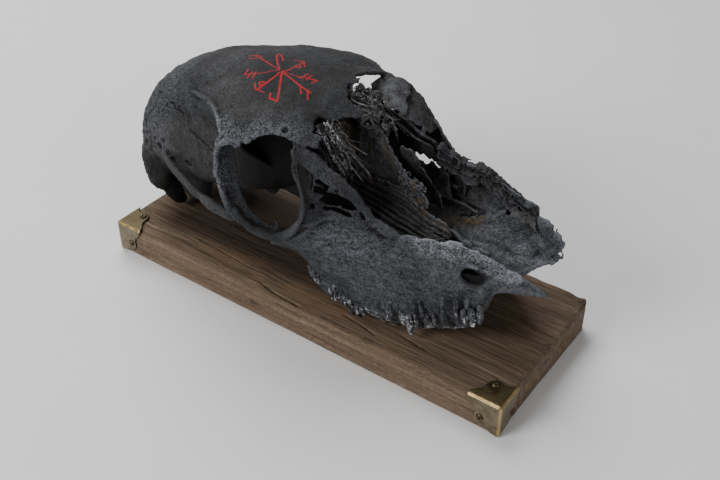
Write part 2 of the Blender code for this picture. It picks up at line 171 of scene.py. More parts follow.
def gridThrough(rows, along, across):  # smooth lines through every row, then smooth lines across them
    fine = np.stack([spline(row, across) for row in rows])
    return spline(fine, along)


def gridNormals(grid):  # the cross product of the steps along the two directions
    normals = np.cross(np.gradient(grid, axis=0), np.gradient(grid, axis=1))
    return normals / (np.linalg.norm(normals, axis=2, keepdims=True) + 1e-9)


def moved(grid, distances, way):  # every place of a grid moved its own distance along one direction
    return grid + distances.reshape(grid.shape[:2])[..., None] * np.array(way, float)


def cellCorners(number):  # the numbers of the four corners of each cell of a numbered grid
    return np.stack([number[:-1, :-1], number[1:, :-1], number[1:, 1:], number[:-1, 1:]], axis=2)


def cellMiddles(grid):  # the mean of each cell's four corners
    return (grid[:-1, :-1] + grid[1:, :-1] + grid[1:, 1:] + grid[:-1, 1:]) / 4


def tubeFaces(along, across):  # the faces of a grid whose last line across meets its first
    number = np.arange(along * across).reshape(along, across)
    return cellCorners(np.concatenate([number, number[:, :1]], axis=1)).reshape(-1, 4)


def plate(grid, thickness, keep=None, lift=0.0):
    # A wall: the grid moved half its thickness to either side, with rims along every free edge.
    # keep says which cells stay, so a broken edge or a hole is a matter of leaving cells out.
    along, across = grid.shape[:2]
    normals = gridNormals(grid)
    half = np.broadcast_to(np.asarray(thickness, float), (along, across))[:, :, None] / 2
    points = np.concatenate([(grid + normals * (lift + half)).reshape(-1, 3),
                             (grid + normals * (lift - half)).reshape(-1, 3)])
    size = along * across
    number = np.arange(size).reshape(along, across)
    stay = np.ones((along - 1, across - 1), bool) if keep is None else keep
    cells = cellCorners(number)[stay]
    faces = [cells, cells[:, ::-1] + size]
    framed = np.pad(stay, 1)
    for before, after, start, end in (
            (framed[1:-1, :-1], framed[1:-1, 1:], number[:-1], number[1:]),
            (framed[1:, 1:-1], framed[:-1, 1:-1], number[:, :-1], number[:, 1:])):
        for free, one, two in ((after & ~before, start, end), (before & ~after, end, start)):
            faces.append(np.stack([two[free], one[free], one[free] + size, two[free] + size], axis=1))
    return points, np.concatenate(faces)


def rod(path, radii, sides=14, flat=1.0, count=None):
    # A bar along a smooth path: rings of changing radius, pressed flat by a factor, closed at the ends.
    up = np.array((0.13, 0.21, 1.0))
    count = count or max(12, 5 * len(path))
    spine = spline(path, count)
    girth = np.interp(np.linspace(0, 1, count), np.linspace(0, 1, len(radii)), radii)
    heading = np.gradient(spine, axis=0)
    heading /= np.linalg.norm(heading, axis=1, keepdims=True)
    over = up - (heading @ up)[:, None] * heading
    over /= np.linalg.norm(over, axis=1, keepdims=True)
    beside = np.cross(heading, over)
    foot, tip = spine[0] - heading[0] * girth[0] * 0.5, spine[-1] + heading[-1] * girth[-1] * 0.5
    spine = np.vstack([foot, spine, tip])
    girth = np.concatenate([[0.02], girth, [0.02]])
    over, beside = (np.vstack([side[:1], side, side[-1:]]) for side in (over, beside))
    turn = np.linspace(0, 2 * math.pi, sides, endpoint=False)
    ring = (over[:, None] * np.cos(turn)[None, :, None]
            + beside[:, None] * np.sin(turn)[None, :, None] * flat) * girth[:, None, None]
    return (spine[:, None] + ring).reshape(-1, 3), tubeFaces(count + 2, sides)


def egg(centre, radii, lean=0.0):
    # A ball of rings, each the sine of its angle wide and its cosine high, stretched and then leaned about Y.
    rings, sides = 22, 32
    level, turn = np.meshgrid(np.linspace(0.004, math.pi - 0.004, rings),
                              np.linspace(0, 2 * math.pi, sides, endpoint=False), indexing="ij")
    ball = np.stack([np.sin(level) * np.cos(turn), np.sin(level) * np.sin(turn), np.cos(level)], axis=2) * radii
    tip = np.array([[math.cos(lean), 0, math.sin(lean)], [0, 1, 0], [-math.sin(lean), 0, math.cos(lean)]])
    return (ball @ tip.T + np.asarray(centre, float)).reshape(-1, 3), tubeFaces(rings, sides)[:, ::-1]


def together(solids):  # one set of points and faces from many
    points, faces, used = [], [], 0
    for somePoints, someFaces in solids:
        points.append(somePoints)
        faces.append(someFaces + used)
        used += len(somePoints)
    return np.concatenate(points), np.concatenate(faces)


def arcLength(grid, axis, fromEnd):  # distance of each cell along the grid's lines from their first or last spot
    steps = np.linalg.norm(np.diff(grid, axis=axis), axis=2)
    sums = np.cumsum(steps, axis=axis)
    sums = np.concatenate([np.zeros_like(np.take(sums, [0], axis=axis)), sums], axis=axis)
    if fromEnd:
        sums = np.take(sums, [-1], axis=axis) - sums
    return (sums[:-1, :-1] + sums[1:, 1:]) / 2


def ragged(grid, edges, bite, cell, seed):
    # Which cells stay where edges are broken: those further from the edge than a bite of rough noise.
    middles = cellMiddles(grid)
    noise = roughNoise(middles.reshape(-1, 3), cell, 4, seed).reshape(middles.shape[:2])
    stay = np.ones(middles.shape[:2], bool)
    for edge in edges:
        axis, fromEnd = {"start": (0, False), "end": (0, True), "low": (1, False), "high": (1, True)}[edge]
        stay &= arcLength(grid, axis, fromEnd) > bite * np.clip(0.35 + 0.9 * noise, 0, 2)
    return stay


# Meshes

def newMesh(name, points, faces, finish=None):  # an object in metres from places in millimetres
    mesh = bpy.data.meshes.new(name)
    mesh.vertices.add(len(points))
    mesh.vertices.foreach_set("co", np.ascontiguousarray(points * mm, np.float32).ravel())
    mesh.loops.add(faces.size)
    mesh.loops.foreach_set("vertex_index", np.ascontiguousarray(faces, np.int32).ravel())
    mesh.polygons.add(len(faces))
    mesh.polygons.foreach_set("loop_start", np.arange(0, faces.size, faces.shape[1], dtype=np.int32))
    mesh.update(calc_edges=True)
    mesh.validate()
    made = bpy.data.objects.new(name, mesh)
    bpy.context.scene.collection.objects.link(made)
    if finish:
        mesh.materials.append(finish)
    return made


def places(made):  # a mesh's corners, in millimetres
    flat = np.empty(3 * len(made.data.vertices), np.float32)
    made.data.vertices.foreach_get("co", flat)
    return flat.reshape(-1, 3).astype(float) / mm


def setPlaces(made, points):
    made.data.vertices.foreach_set("co", np.ascontiguousarray(points * mm, np.float32).ravel())
    made.data.update()


def outward(made):  # the direction each corner faces
    flat = np.empty(3 * len(made.data.vertices), np.float32)
    made.data.vertex_normals.foreach_get("vector", flat)
    return flat.reshape(-1, 3).astype(float)


def apply(made):  # modifiers worked into the mesh
    graph = bpy.context.evaluated_depsgraph_get()
    mesh = bpy.data.meshes.new_from_object(made.evaluated_get(graph))
    old = made.data
    made.modifiers.clear()
    made.data = mesh
    bpy.data.meshes.remove(old)


def fuse(made, cell):  # one fine skin of even cells over all the solids in a mesh
    skin = made.modifiers.new("skin", "REMESH")
    skin.mode = "VOXEL"
    skin.voxel_size = cell * mm
    apply(made)


def settle(made, rounds):  # each corner moved half-way to the mean of its neighbours, some rounds over
    eased = made.modifiers.new("settle", "SMOOTH")
    eased.factor, eased.iterations = 0.5, rounds
    apply(made)


def thin(made, triangles):  # corners merged where it shows least, down to so many triangles
    count = sum(len(face.vertices) - 2 for face in made.data.polygons)
    if count > triangles:
        sparse = made.modifiers.new("sparse", "DECIMATE")
        sparse.ratio = triangles / count
        apply(made)


def smooth(made, angle=None):  # soft shading, with sharp edges where faces meet at more than an angle
    made.data.shade_smooth()
    if angle:
        made.data.set_sharp_from_angle(angle=math.radians(angle))


def clean(made):  # poles and seams closed, faces turned outwards
    work = bmesh.new()
    work.from_mesh(made.data)
    bmesh.ops.remove_doubles(work, verts=work.verts, dist=0.00004)
    bmesh.ops.holes_fill(work, edges=[edge for edge in work.edges if edge.is_boundary], sides=0)
    bmesh.ops.recalc_face_normals(work, faces=work.faces)
    work.to_mesh(made.data)
    work.free()


def onRoot(made, slot, *nodes):
    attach(made, "root")
    if nodes:
        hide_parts(*nodes)


def spread(made, name, values):  # one number for each corner, for a material to read
    data = made.data.attributes.new(name, "FLOAT", "POINT")
    data.data.foreach_set("value", np.ascontiguousarray(values, np.float32))


# Materials

class NodeMaker:  # adds nodes to a material's or a group's tree and links or sets their inputs
    def __init__(self, tree):
        self.tree = tree

    def add(self, kind, inputs=(), **settings):
        made = self.tree.nodes.new(kind if kind.startswith("Node") else "ShaderNode" + kind)
        for key, value in settings.items():
            setattr(made, key, value)
        for key, value in dict(inputs).items():
            if isinstance(value, bpy.types.NodeSocket):
                self.tree.links.new(value, made.inputs[key])
            else:
                made.inputs[key].default_value = value
        return made

    def math(self, operation, *values, clamp=False):
        return self.add("Math", dict(enumerate(values)), operation=operation, use_clamp=clamp).outputs[0]

    def times(self, *values, clamp=False):
        return self.math("MULTIPLY", *values, clamp=clamp)

    def plus(self, *values, clamp=False):
        return self.math("ADD", *values, clamp=clamp)

    def vector(self, operation, *values):
        made = self.add("VectorMath", dict(enumerate(values)), operation=operation)
        return made.outputs["Value" if operation in ("LENGTH", "DOT_PRODUCT") else "Vector"]

    def noise(self, where, cell, detail, roughness=0.6):
        # Noise whose cells are so many millimetres wide, or so many along each axis where three are given.
        if isinstance(cell, tuple):
            where = self.vector("MULTIPLY", where, tuple(1 / (part * mm) for part in cell))
            cell = 1 / mm
        return self.add("TexNoise", {"Vector": where, "Scale": 1 / (cell * mm), "Detail": detail,
                                     "Roughness": roughness}).outputs["Fac"]

    def slope(self, value, low, high, least=0.0, most=1.0):  # from least at low to most at high, eased
        return self.add("MapRange", {"Value": value, "From Min": low, "From Max": high, "To Min": least,
                                     "To Max": most}, interpolation_type="SMOOTHSTEP").outputs["Result"]

    def wander(self, where, scale, detail, reach, start):  # a place moved by noise, up to half the reach each way
        noise = self.add("TexNoise", {"Vector": where, "Scale": scale, "Detail": detail}).outputs["Color"]
        offset = self.vector("SUBTRACT", noise, (0.5, 0.5, 0.5))
        return self.vector("ADD", start, self.vector("MULTIPLY", offset, reach))

    def between(self, share, first, second):  # a number drawn from the first to the second by a share
        return self.add("Mix", {0: share, 2: first, 3: second}).outputs[0]

    def blend(self, share, first, second):  # a colour drawn from the first to the second by a share
        first, second = ((*tone, 1.0) if isinstance(tone, tuple) else tone for tone in (first, second))
        return self.add("Mix", {0: share, 6: first, 7: second}, data_type="RGBA", blend_type="MIX").outputs[2]

    def mask(self, name):  # a number that the mesh carries for each corner
        return self.add("Attribute", attribute_name=name).outputs["Fac"]


def newMaterial(name, **uniform):  # a Principled shader with its uniform values set, and places on the object
    made = bpy.data.materials.new(name)
    made.use_nodes = True
    shader = made.node_tree.nodes["Principled BSDF"]
    for key, value in uniform.items():
        shader.inputs[key.replace("_", " ")].default_value = value
    maker = NodeMaker(made.node_tree)
    return made, shader, maker, maker.add("TexCoord").outputs["Object"]


def join(maker, source, target):
    maker.tree.links.new(source, target)


def coverWith(maker, shader, colour, strength, distance, height):  # a colour and a fine bump led into the shader
    join(maker, colour, shader.inputs["Base Color"])
    bump = maker.add("Bump", {"Strength": strength, "Distance": distance * mm, "Height": height}).outputs["Normal"]
    join(maker, bump, shader.inputs["Normal"])


boneLook = {"dark": (0.0024, 0.0025, 0.0028), "mid": (0.0092, 0.0094, 0.0103),  # charcoal
            "warmDark": (0.0125, 0.0105, 0.0085), "warm": (0.0270, 0.0240, 0.0200),  # browned bone
            "dust": (0.190, 0.200, 0.227), "silver": (0.62, 0.64, 0.67), "ochre": (0.125, 0.083, 0.036),
            # the near black colour below is painted shade for hollows and deep places
            "hollow": (0.0018, 0.0018, 0.0018), "paint": (0.42, 0.004, 0.008)}

staveStrokes = [  # the width of each painted stroke and the places that it runs through, seen from above
    (1.6, [(-54.0, -6.6), (-64.3, 2.7), (-71.8, 11.2), (-71.2, 13.7), (-65.6, 10.9), (-61.3, 6.6)]),
    (1.6, [(-51.0, -7.7), (-47.0, -2.1), (-46.6, 4.5), (-45.9, 12.5)]),
    (1.4, [(-53.3, 11.4), (-45.9, 13.4), (-40.4, 7.4)]),
    (1.4, [(-45.9, 3.6), (-42.4, 2.8), (-42.2, 4.7), (-45.3, 8.2)]),
    (0.9, [(-50.5, -7.4), (-34.6, -7.0)]),
    (1.5, [(-34.3, -7.4), (-20.4, -2.3), (-21.8, -7.5)]),
    (1.4, [(-32.0, -8.2), (-30.8, -0.5)]),
    (1.4, [(-27.2, -7.2), (-27.0, -0.4)]),
    (1.6, [(-48.0, -8.7), (-27.5, -15.2), (-15.5, -17.4)]),
    (1.3, [(-26.4, -15.6), (-20.8, -21.9)]),
    (1.4, [(-18.7, -16.8), (-13.1, -23.6)]),
    (2.0, [(-50.1, -8.8), (-43.4, -18.8), (-32.6, -35.1), (-31.4, -37.9), (-39.6, -36.7), (-41.9, -32.6)]),
    (1.8, [(-51.5, -10.1), (-51.2, -18.0), (-51.8, -24.9), (-53.9, -34.3)]),
    (1.5, [(-59.8, -29.6), (-55.2, -34.2), (-47.5, -33.9)]),
    (1.4, [(-51.8, -24.9), (-55.9, -25.2), (-57.8, -26.7), (-54.9, -29.4), (-53.8, -27.6)]),
    (1.1, [(-53.9, -7.6), (-57.3, -10.6), (-60.2, -14.8), (-67.8, -17.9), (-78.8, -20.3)]),
    (1.5, [(-79.4, -14.8), (-78.8, -20.3)]),
    (1.5, [(-74.5, -16.5), (-72.2, -24.4)]),
    (1.4, [(-70.3, -15.8), (-67.0, -23.6)]),
    (1.3, [(-55.0, -7.2), (-74.5, -0.5), (-82.0, 2.3)]),
    (1.0, [(-92.6, 0.8), (-88.6, 3.8), (-81.9, 3.0)]),
    (1.0, [(-88.6, -2.4), (-81.7, 1.9)]),
    (1.0, [(-89.3, 6.8), (-84.6, 2.6)]),
    (1.0, [(-85.7, 6.1), (-82.0, 3.4)])]


def strokeGroup():  # the distance from Place to the line from Start to End, less Half Width
    group = bpy.data.node_groups.new("strokeReach", "ShaderNodeTree")
    for name, kind in (("Place", "NodeSocketVector"), ("Start", "NodeSocketVector"), ("End", "NodeSocketVector"),
                       ("Half Width", "NodeSocketFloat")):
        group.interface.new_socket(name, in_out="INPUT", socket_type=kind)
    group.interface.new_socket("Reach", in_out="OUTPUT", socket_type="NodeSocketFloat")
    maker = NodeMaker(group)
    given = maker.add("NodeGroupInput").outputs
    away = maker.vector("SUBTRACT", given["Place"], given["Start"])
    along = maker.vector("SUBTRACT", given["End"], given["Start"])
    share = maker.math("DIVIDE", maker.vector("DOT_PRODUCT", away, along), maker.vector("DOT_PRODUCT", along, along),
                       clamp=True)
    nearest = maker.add("VectorMath", {0: along, "Scale": share}, operation="SCALE").outputs["Vector"]
    reach = maker.math("SUBTRACT", maker.vector("LENGTH", maker.vector("SUBTRACT", away, nearest)),
                       given["Half Width"])
    join(maker, reach, maker.add("NodeGroupOutput").inputs["Reach"])
    return group


def staveMask(maker, where):  # 1 on the painted strokes, with a dry, broken edge
    group = strokeGroup()
    flat = maker.vector("MULTIPLY", where, (1.0, 1.0, 0.0))
    flat = maker.wander(where, 520.0, 2.0, (0.0011, 0.0011, 0.0), flat)
    nearest = None
    for width, path in staveStrokes:
        for start, end in zip(path[:-1], path[1:]):
            made = maker.add("Group", node_tree=group)
            join(maker, flat, made.inputs["Place"])
            for name, spot in (("Start", start), ("End", end)):
                made.inputs[name].default_value = (spot[0] * mm, spot[1] * mm, 0)
            made.inputs["Half Width"].default_value = width * 0.40 * mm
            nearest = made.outputs[0] if nearest is None else maker.math("MINIMUM", nearest, made.outputs[0])
    onTop = maker.slope(maker.add("SeparateXYZ", {0: where}).outputs["Z"], 0.184, 0.188)  # not on the underside
    wet = maker.slope(maker.noise(where, 2.2, 3.0), 0.30, 0.42, 0.35, 1.0)  # the paint is thin in patches
    return maker.times(maker.times(maker.slope(nearest, 0.0002, -0.0002), onTop), wet)


def boneMaterial(name, roughness, painted=False):
    # Charcoal with a blue-grey dust on whatever stands proud, brown in the nose, silver on torn fibres, near black
    # painted shade in hollows and deep places.
    made, shader, maker, where = newMaterial(name, Roughness=roughness, Specular_IOR_Level=0.22)
    broad = maker.noise(where, 30, 5.0, 0.62)
    specks = maker.noise(where, 1.25, 2.0, 0.75)
    flecks = maker.noise(where, 3.4, 4.0, 0.7)
    streaks = maker.noise(where, (2.4, 0.9, 0.7), 3.0, 0.75)
    ridge, dust, warm, silver = (maker.mask(mask) for mask in ("ridge", "dust", "warm", "silver"))
    grain = maker.between(maker.times(maker.mask("streak"), 0.6), specks, streaks)
    tone = maker.slope(maker.plus(broad, maker.times(specks, 0.7)), 0.55, 1.20)
    base = maker.blend(tone, boneLook["dark"], boneLook["mid"])
    base = maker.blend(warm, base, maker.blend(tone, boneLook["warmDark"], boneLook["warm"]))
    proud = maker.times(maker.math("SUBTRACT", ridge, 0.5), 0.17)
    fine = maker.slope(maker.plus(grain, proud), 0.36, 0.68, 0.04, 1.0)
    cloud = maker.slope(maker.plus(flecks, proud), 0.30, 0.66, 0.62, 1.0)
    dusty = maker.times(maker.times(fine, cloud), dust, clamp=True)
    colour = maker.blend(dusty, base, boneLook["dust"])
    pores = maker.times(maker.slope(maker.plus(maker.noise(where, 1.3, 2.0, 0.6), proud), 0.40, 0.30), 0.7)
    colour = maker.blend(pores, colour, boneLook["dark"])
    raised = maker.plus(grain, proud)
    colour = maker.blend(maker.times(silver, maker.slope(raised, 0.47, 0.64)), colour, boneLook["silver"])
    # painted shade: near black in concave places and wherever the mesh's shade share is high
    hollow = maker.math("MAXIMUM", maker.times(maker.slope(ridge, 0.24, 0.04), 0.8), maker.mask("shade"))
    colour = maker.blend(maker.times(hollow, 0.92), colour, boneLook["hollow"])
    ochre = maker.times(maker.mask("ochre"), maker.slope(maker.noise(where, 3, 5.0, 0.8), 0.43, 0.62))
    colour = maker.blend(ochre, colour, boneLook["ochre"])
    if painted:
        colour = maker.blend(staveMask(maker, where), colour, boneLook["paint"])
    coverWith(maker, shader, colour, 0.75, 1.1, maker.plus(grain, maker.times(flecks, 0.5)))
    return made


boneFinish = boneMaterial("charredBone", 0.66, painted=True)
tornFinish = boneMaterial("tornBone", 0.34)

woodLook = {"dark": (0.088, 0.058, 0.037), "mid": (0.200, 0.136, 0.088), "pale": (0.330, 0.258, 0.197),
            "line": (0.022, 0.014, 0.009), "groove": (0.030, 0.020, 0.013), "tan": (0.200, 0.122, 0.066),
            "soot": (0.020, 0.014, 0.010), "stain": (0.022, 0.016, 0.012)}
brassLook = {"olive": (0.125, 0.100, 0.062), "pale": (0.235, 0.195, 0.130), "patina": (0.036, 0.027, 0.0105),
             "rubbed": (0.66, 0.47, 0.21)}
steelLook = {"dark": (0.035, 0.027, 0.016), "worn": (0.16, 0.13, 0.075)}


def woodMaterial():
    # Old oak: bands and lines drawn out along X, dark in the grooves, pale on worn ridges, tan in places, with painted
    # shadow under the skull and painted shade towards the end at plus X.
    made, shader, maker, where = newMaterial("weatheredOak", Roughness=0.78, Specular_IOR_Level=0.25)
    bent = maker.wander(where, 14.0, 1.0, (0.0, 0.0045, 0.0022), where)
    bands = maker.noise(bent, (260, 4.2, 4.2), 3.0, 0.6)
    drawn = maker.noise(bent, (60, 0.8, 0.8), 3.0, 0.72)
    speckled = maker.noise(where, (3.4, 1.5, 1.5), 4.0, 0.75)
    lines = maker.between(maker.times(maker.mask("mottled"), 0.7), drawn, speckled)
    patches = maker.noise(where, (60, 26, 26), 3.0, 0.6)
    groove = maker.mask("groove")
    tone = maker.plus(maker.times(bands, 0.4), maker.times(lines, 0.6))
    colour = maker.blend(maker.slope(tone, 0.32, 0.66), woodLook["dark"], woodLook["mid"])
    pale = maker.times(maker.slope(tone, 0.48, 0.66), maker.slope(patches, 0.36, 0.64))
    colour = maker.blend(maker.times(pale, 0.6), colour, woodLook["pale"])
    colour = maker.blend(maker.times(maker.slope(lines, 0.44, 0.30), 0.75), colour, woodLook["line"])
    colour = maker.blend(maker.times(maker.slope(groove, 0.2, 0.9), 0.7), colour, woodLook["groove"])
    colour = maker.blend(maker.times(maker.mask("tan"), maker.slope(patches, 0.44, 0.60)), colour, woodLook["tan"])
    # painted shadow: the board darkened under the skull and towards the end at plus X
    colour = maker.blend(maker.times(maker.mask("soot"), 0.8), colour, woodLook["soot"])
    stain = maker.times(maker.slope(maker.noise(where, (46, 18, 18), 4.0, 0.7), 0.60, 0.72), 0.6)
    colour = maker.blend(stain, colour, woodLook["stain"])
    coverWith(maker, shader, colour, 0.7, 0.7, lines)
    return made


def brassMaterial():
    # Brass gone olive and dull, with painted shade making the tops darker, and the bends bright: worn brass with a
    # painted highlight along them.
    made, shader, maker, where = newMaterial("agedBrass", Metallic=1.0, Roughness=0.36)
    rubbed = maker.mask("rubbed")
    stains = maker.noise(where, 6, 5.0, 0.7)
    fine = maker.noise(where, 0.9, 3.0, 0.7)
    colour = maker.blend(maker.slope(stains, 0.34, 0.66), brassLook["olive"], brassLook["pale"])
    # painted shade: faces that look up are darker
    colour = maker.blend(maker.times(maker.mask("patina"), 0.85), colour, brassLook["patina"])
    # the bends are bright, partly worn brass and partly a painted highlight
    share = maker.plus(rubbed, maker.times(maker.math("SUBTRACT", fine, 0.5), 0.35), clamp=True)
    colour = maker.blend(share, colour, brassLook["rubbed"])
    dull = maker.math("SUBTRACT", stains, maker.times(rubbed, 0.3))
    join(maker, maker.slope(dull, 0.2, 0.8, 0.24, 0.55), shader.inputs["Roughness"])
    coverWith(maker, shader, colour, 0.25, 0.2, fine)
    return made


def steelMaterial():  # stained brown steel
    made, shader, maker, where = newMaterial("darkSteel", Metallic=1.0, Roughness=0.4)
    stains = maker.noise(where, 1.3, 4.0, 0.7)
    colour = maker.blend(maker.slope(stains, 0.35, 0.65), steelLook["dark"], steelLook["worn"])
    join(maker, colour, shader.inputs["Base Color"])
    return made


woodFinish, brassFinish, steelFinish = woodMaterial(), brassMaterial(), steelMaterial()


# The skull's bones

skullLook = {"cell": 0.95, "triangles": 196000, "wall": 4.0, "thin": 3.0}  # thin is the wall of the finer sheets


def ring(x, half, low, high, inner=None, count=72):
    # A rounded section square to X: a circle's sine and cosine, each raised to a power, stretched to the section.
    start = -half if inner is None else inner
    power = 2 / 2.4
    turn = np.linspace(0, 2 * math.pi, count + 1)
    y = np.sign(np.cos(turn)) * np.abs(np.cos(turn)) ** power * (half - start) / 2 + (half + start) / 2
    z = np.sign(np.sin(turn)) * np.abs(np.sin(turn)) ** power * (high - low) / 2 + (high + low) / 2
    return np.stack([np.full(count + 1, x), y, z], axis=1)


def braincase():
    sections = [(-193, 16, 72, 107), (-192, 27, 63, 121), (-186, 41, 60, 136), (-176, 47, 60, 150),
                (-160, 51, 64, 162), (-136, 53, 70, 173), (-110, 53, 75, 181), (-85, 50, 80, 187),
                (-60, 42, 88, 189), (-38, 32, 96, 186), (-18, 24, 102, 180), (0, 16, 108, 168)]
    grid = sided(spline([ring(*section) for section in sections], 190), far)
    return [plate(grid, skullLook["wall"], lift=-4.0)]


def roofHeight(x, half):
    # The height of the forehead: a line along the middle, less a bow across, with a swelling over each eye.
    top = np.interp(x, [-195, -157, -135, -110, -90, -60, -30, 0, 20, 45, 70],
                    [136, 165, 175, 184, 190, 195, 195, 191, 183, 163, 140])
    return top - 0.0044 * half ** 2 + 3.5 * np.exp(-((x + 38) / 28) ** 2 - ((np.abs(half) - 62) / 20) ** 2)


foreheadOutline = [(-150, -10), (-135, -22), (-112, -36), (-94, -49), (-78, -57), (-67, -65), (-60, -71), (-50, -75),
                   (-41, -75.5), (-32, -71), (-26, -65), (-19, -60), (-13, -58), (-4, -57), (6, -55), (15, -48),
                   (14, -42), (7, -43), (1, -36), (4, -31), (10, -27), (15, -22), (19, -16), (23, -8), (22, -2),
                   (15, -3), (8, -1), (3, 5), (0, 12), (2, 20), (-1, 28), (-2, 23), (-5, 28), (-5, 36), (-3, 46),
                   (-1, 60), (-10, 68), (-20, 75), (-28, 85), (-41, 93), (-52, 93), (-60, 87), (-67, 81), (-78, 73),
                   (-94, 65), (-112, 52), (-135, 38), (-150, 26)]


def forehead():
    # A sheet over the plan of the forehead, kept inside its broken outline and sunk into the braincase behind.
    x, y = np.meshgrid(np.linspace(-152, 36, 250), np.linspace(-82, 98, 240), indexing="ij")
    half = y - skullMiddle
    sunk = 2.0 + 7.0 * fall(x, -150, -112) + 2.6 * fall(x, -118, -88)
    grid = np.stack([x, y, roofHeight(x, half) - sunk], axis=2)
    middles = cellMiddles(grid).reshape(-1, 3)
    jitter = 1.2 * roughNoise(middles, 4.5, 4, 11), 1.2 * roughNoise(middles, 4.5, 4, 12)
    keep = insideOutline(middles[:, 0] + jitter[0], middles[:, 1] + jitter[1], foreheadOutline)
    return [plate(grid, 2.6, keep.reshape(x.shape[0] - 1, -1), lift=0.8)]


def orbitRim(side):  # a blade behind the eye and thick bars round it
    rear = [(-56, 79, 168), (-60, 83, 158), (-61, 85.5, 148), (-60.5, 86.5, 136), (-58, 87, 124), (-54, 87.5, 115),
            (-47, 88, 106), (-38, 88, 100), (-26, 87.5, 96.5), (-12, 86.5, 95.5), (2, 84, 99)]
    inner = [(-50, 72, 164), (-52, 72, 156), (-53, 73, 147), (-52, 74, 135), (-49, 75, 124), (-45, 77, 115),
             (-37, 79, 108), (-29, 80, 104), (-19, 80.5, 101), (-8, 80, 101), (3, 79, 104)]
    lower = [(-45, 87.5, 108), (-37, 87.5, 101), (-26, 87.5, 97), (-15, 86.5, 96), (-4, 85, 97.5), (6, 83, 104),
             (13, 81, 113)]
    front = [(10, 82, 108), (15, 80, 118), (17, 78, 127), (14.5, 75.5, 136), (8.5, 72.5, 143.5), (1.5, 69, 151),
             (-0.5, 66, 158), (-3, 64, 165)]
    brow = [(-38, 82, 167), (-48, 83, 165), (-56, 83, 161), (-60, 84.5, 153), (-60.5, 86, 144)]
    spur = [(-13, 85, 96), (-8, 82, 101), (-7, 81, 106), (-11, 81, 108)]
    blade = plate(gridThrough([sideLine(side, rear), sideLine(side, inner)], 4, 110), skullLook["thin"])
    return [blade] + [rod(sideLine(side, path), radii) for path, radii in (
        (rear[:8], (2.2, 1.8, 1.8, 2.0, 2.4, 3.0, 3.4, 3.6)), (brow, (1.6, 2.8, 3.4, 3.0, 1.8)),
        (spur, (2.4, 1.7, 1.2, 0.5)), (lower, (3.0, 3.6, 3.8, 3.6, 2.8)), (front, (3.0, 2.1, 1.7, 1.5, 1.6, 2.2)))]


def templeWall(side):  # the hollow wall from the forehead's edge in to the braincase
    rows = [[(-128, 36, 170), (-112, 43, 172), (-96, 55, 173), (-81, 64, 172), (-70, 71, 170), (-62, 77, 167),
             (-58, 81, 161)],
            [(-126, 46, 163), (-112, 50, 163), (-97, 55, 163), (-81, 58, 161), (-69, 61, 158), (-60, 64, 154),
             (-54, 68, 150)],
            [(-122, 52, 148), (-110, 52, 146), (-95, 51, 143), (-79, 50, 140), (-66, 49, 138), (-55, 50, 136),
             (-48, 52, 134)],
            [(-120, 50, 132), (-106, 50, 130), (-90, 47, 128), (-76, 44, 126), (-62, 40, 124), (-52, 38, 122),
             (-44, 38, 120)]]
    return [plate(gridThrough([sideLine(side, row) for row in rows], 50, 110), skullLook["thin"])]


def cheekArch(side):
    path = np.array([(-156, 54, 104), (-136, 63, 101), (-112, 72, 99), (-88, 80, 98), (-62, 86, 99), (-44, 88, 101)])
    upper = [atSide(side, x, half, z + 4) for x, half, z in path]
    lower = [atSide(side, x, half + 1, z - 4) for x, half, z in path]
    return [plate(gridThrough([upper, lower], 8, 110), 3.8)]


jawRows = [  # x, then the half-width and height of five places from the tooth row up
           (-10, (44, 64), (56, 74), (70, 81), (82, 87), (88, 91)),
           (8, (56, 51), (61, 60), (70, 75), (79, 90), (82, 100)),
           (25, (60, 45), (63, 57), (68, 75), (69, 95), (64, 116)),
           (45, (61, 42), (63, 57), (65, 75), (60, 95), (50, 116)),
           (65, (61, 39.5), (63, 54), (61, 72), (55, 92), (42, 108)),
           (85, (57, 37), (59, 52), (57, 70), (51, 90), (38, 109)),
           (105, (52, 39), (54, 55), (52, 72), (46, 92), (34, 111)),
           (125, (45, 42), (47, 58), (46, 75), (42, 93), (28, 112)),
           (145, (38, 52), (39, 64), (39, 77), (35, 93), (25, 109)),
           (151, (34, 68), (35, 77), (35, 84), (32, 95), (23, 107)),
           (158, (32, 84), (32, 87), (31, 91), (28, 97), (21, 102)),
           (176, (27, 88), (27, 90.5), (25.5, 93), (23, 96), (20.5, 98)),
           (185, (24, 89.5), (24, 91), (23, 93), (22, 95.5), (21, 96.5)),
           (193, (21, 91), (21, 91.4), (20.8, 91.8), (20.5, 92.2), (20.2, 92.6))]


def jawWall(side):  # the cheek from the tooth row up, with the nerve's oval hole; the far one is shorter and lower
    rows = list(jawRows)
    if side == far:
        rows = rows[:-3]
        rows[2] = (25, (54, 38), (60, 55), (65, 75), (66, 92), (64, 104))
        rows[3] = (45, (60, 35), (63, 55), (64, 75), (60, 90), (54, 104))
    grid = sided(gridThrough(rowsAlong(rows), 190, 70), side)
    middles = cellMiddles(grid)
    nerve = (((middles[..., 0] - 139) / 8.8) ** 2
             + ((middles[..., 2] - 94 + 0.22 * (middles[..., 0] - 139)) / 3.7) ** 2)
    keep = ragged(grid, ["end", "high"] if side == far else ["high"], 2.0, 4.0, 21 + side) & (nerve > 1)
    if side == far:
        keep &= (middles[..., 0] < 80) | (middles[..., 2] < 90)
    return [plate(grid, 2.8, keep)]


# its darkness is painted shade, from the tunnel share in boneMasks
def nerveCanal(side):  # a dark cup behind the hole in the jaw wall, deepest at its middle
    r, turn = np.meshgrid(np.linspace(0.02, 1.25, 14), np.linspace(0, 2 * math.pi, 49), indexing="ij")
    x, z = 139 + 9.4 * r * np.cos(turn) - 3 * (1 - r), 94 + 5.4 * r * np.sin(turn) - 2 * r * np.cos(turn)
    half = np.interp(x, [120, 145, 158], [41.5, 34.5, 28.0]) - 8.0 * np.sqrt(np.clip(1.56 - r * r, 0, 2))
    return [plate(sided(np.stack([x, half - 0.5, z], axis=2), side), 1.8)]


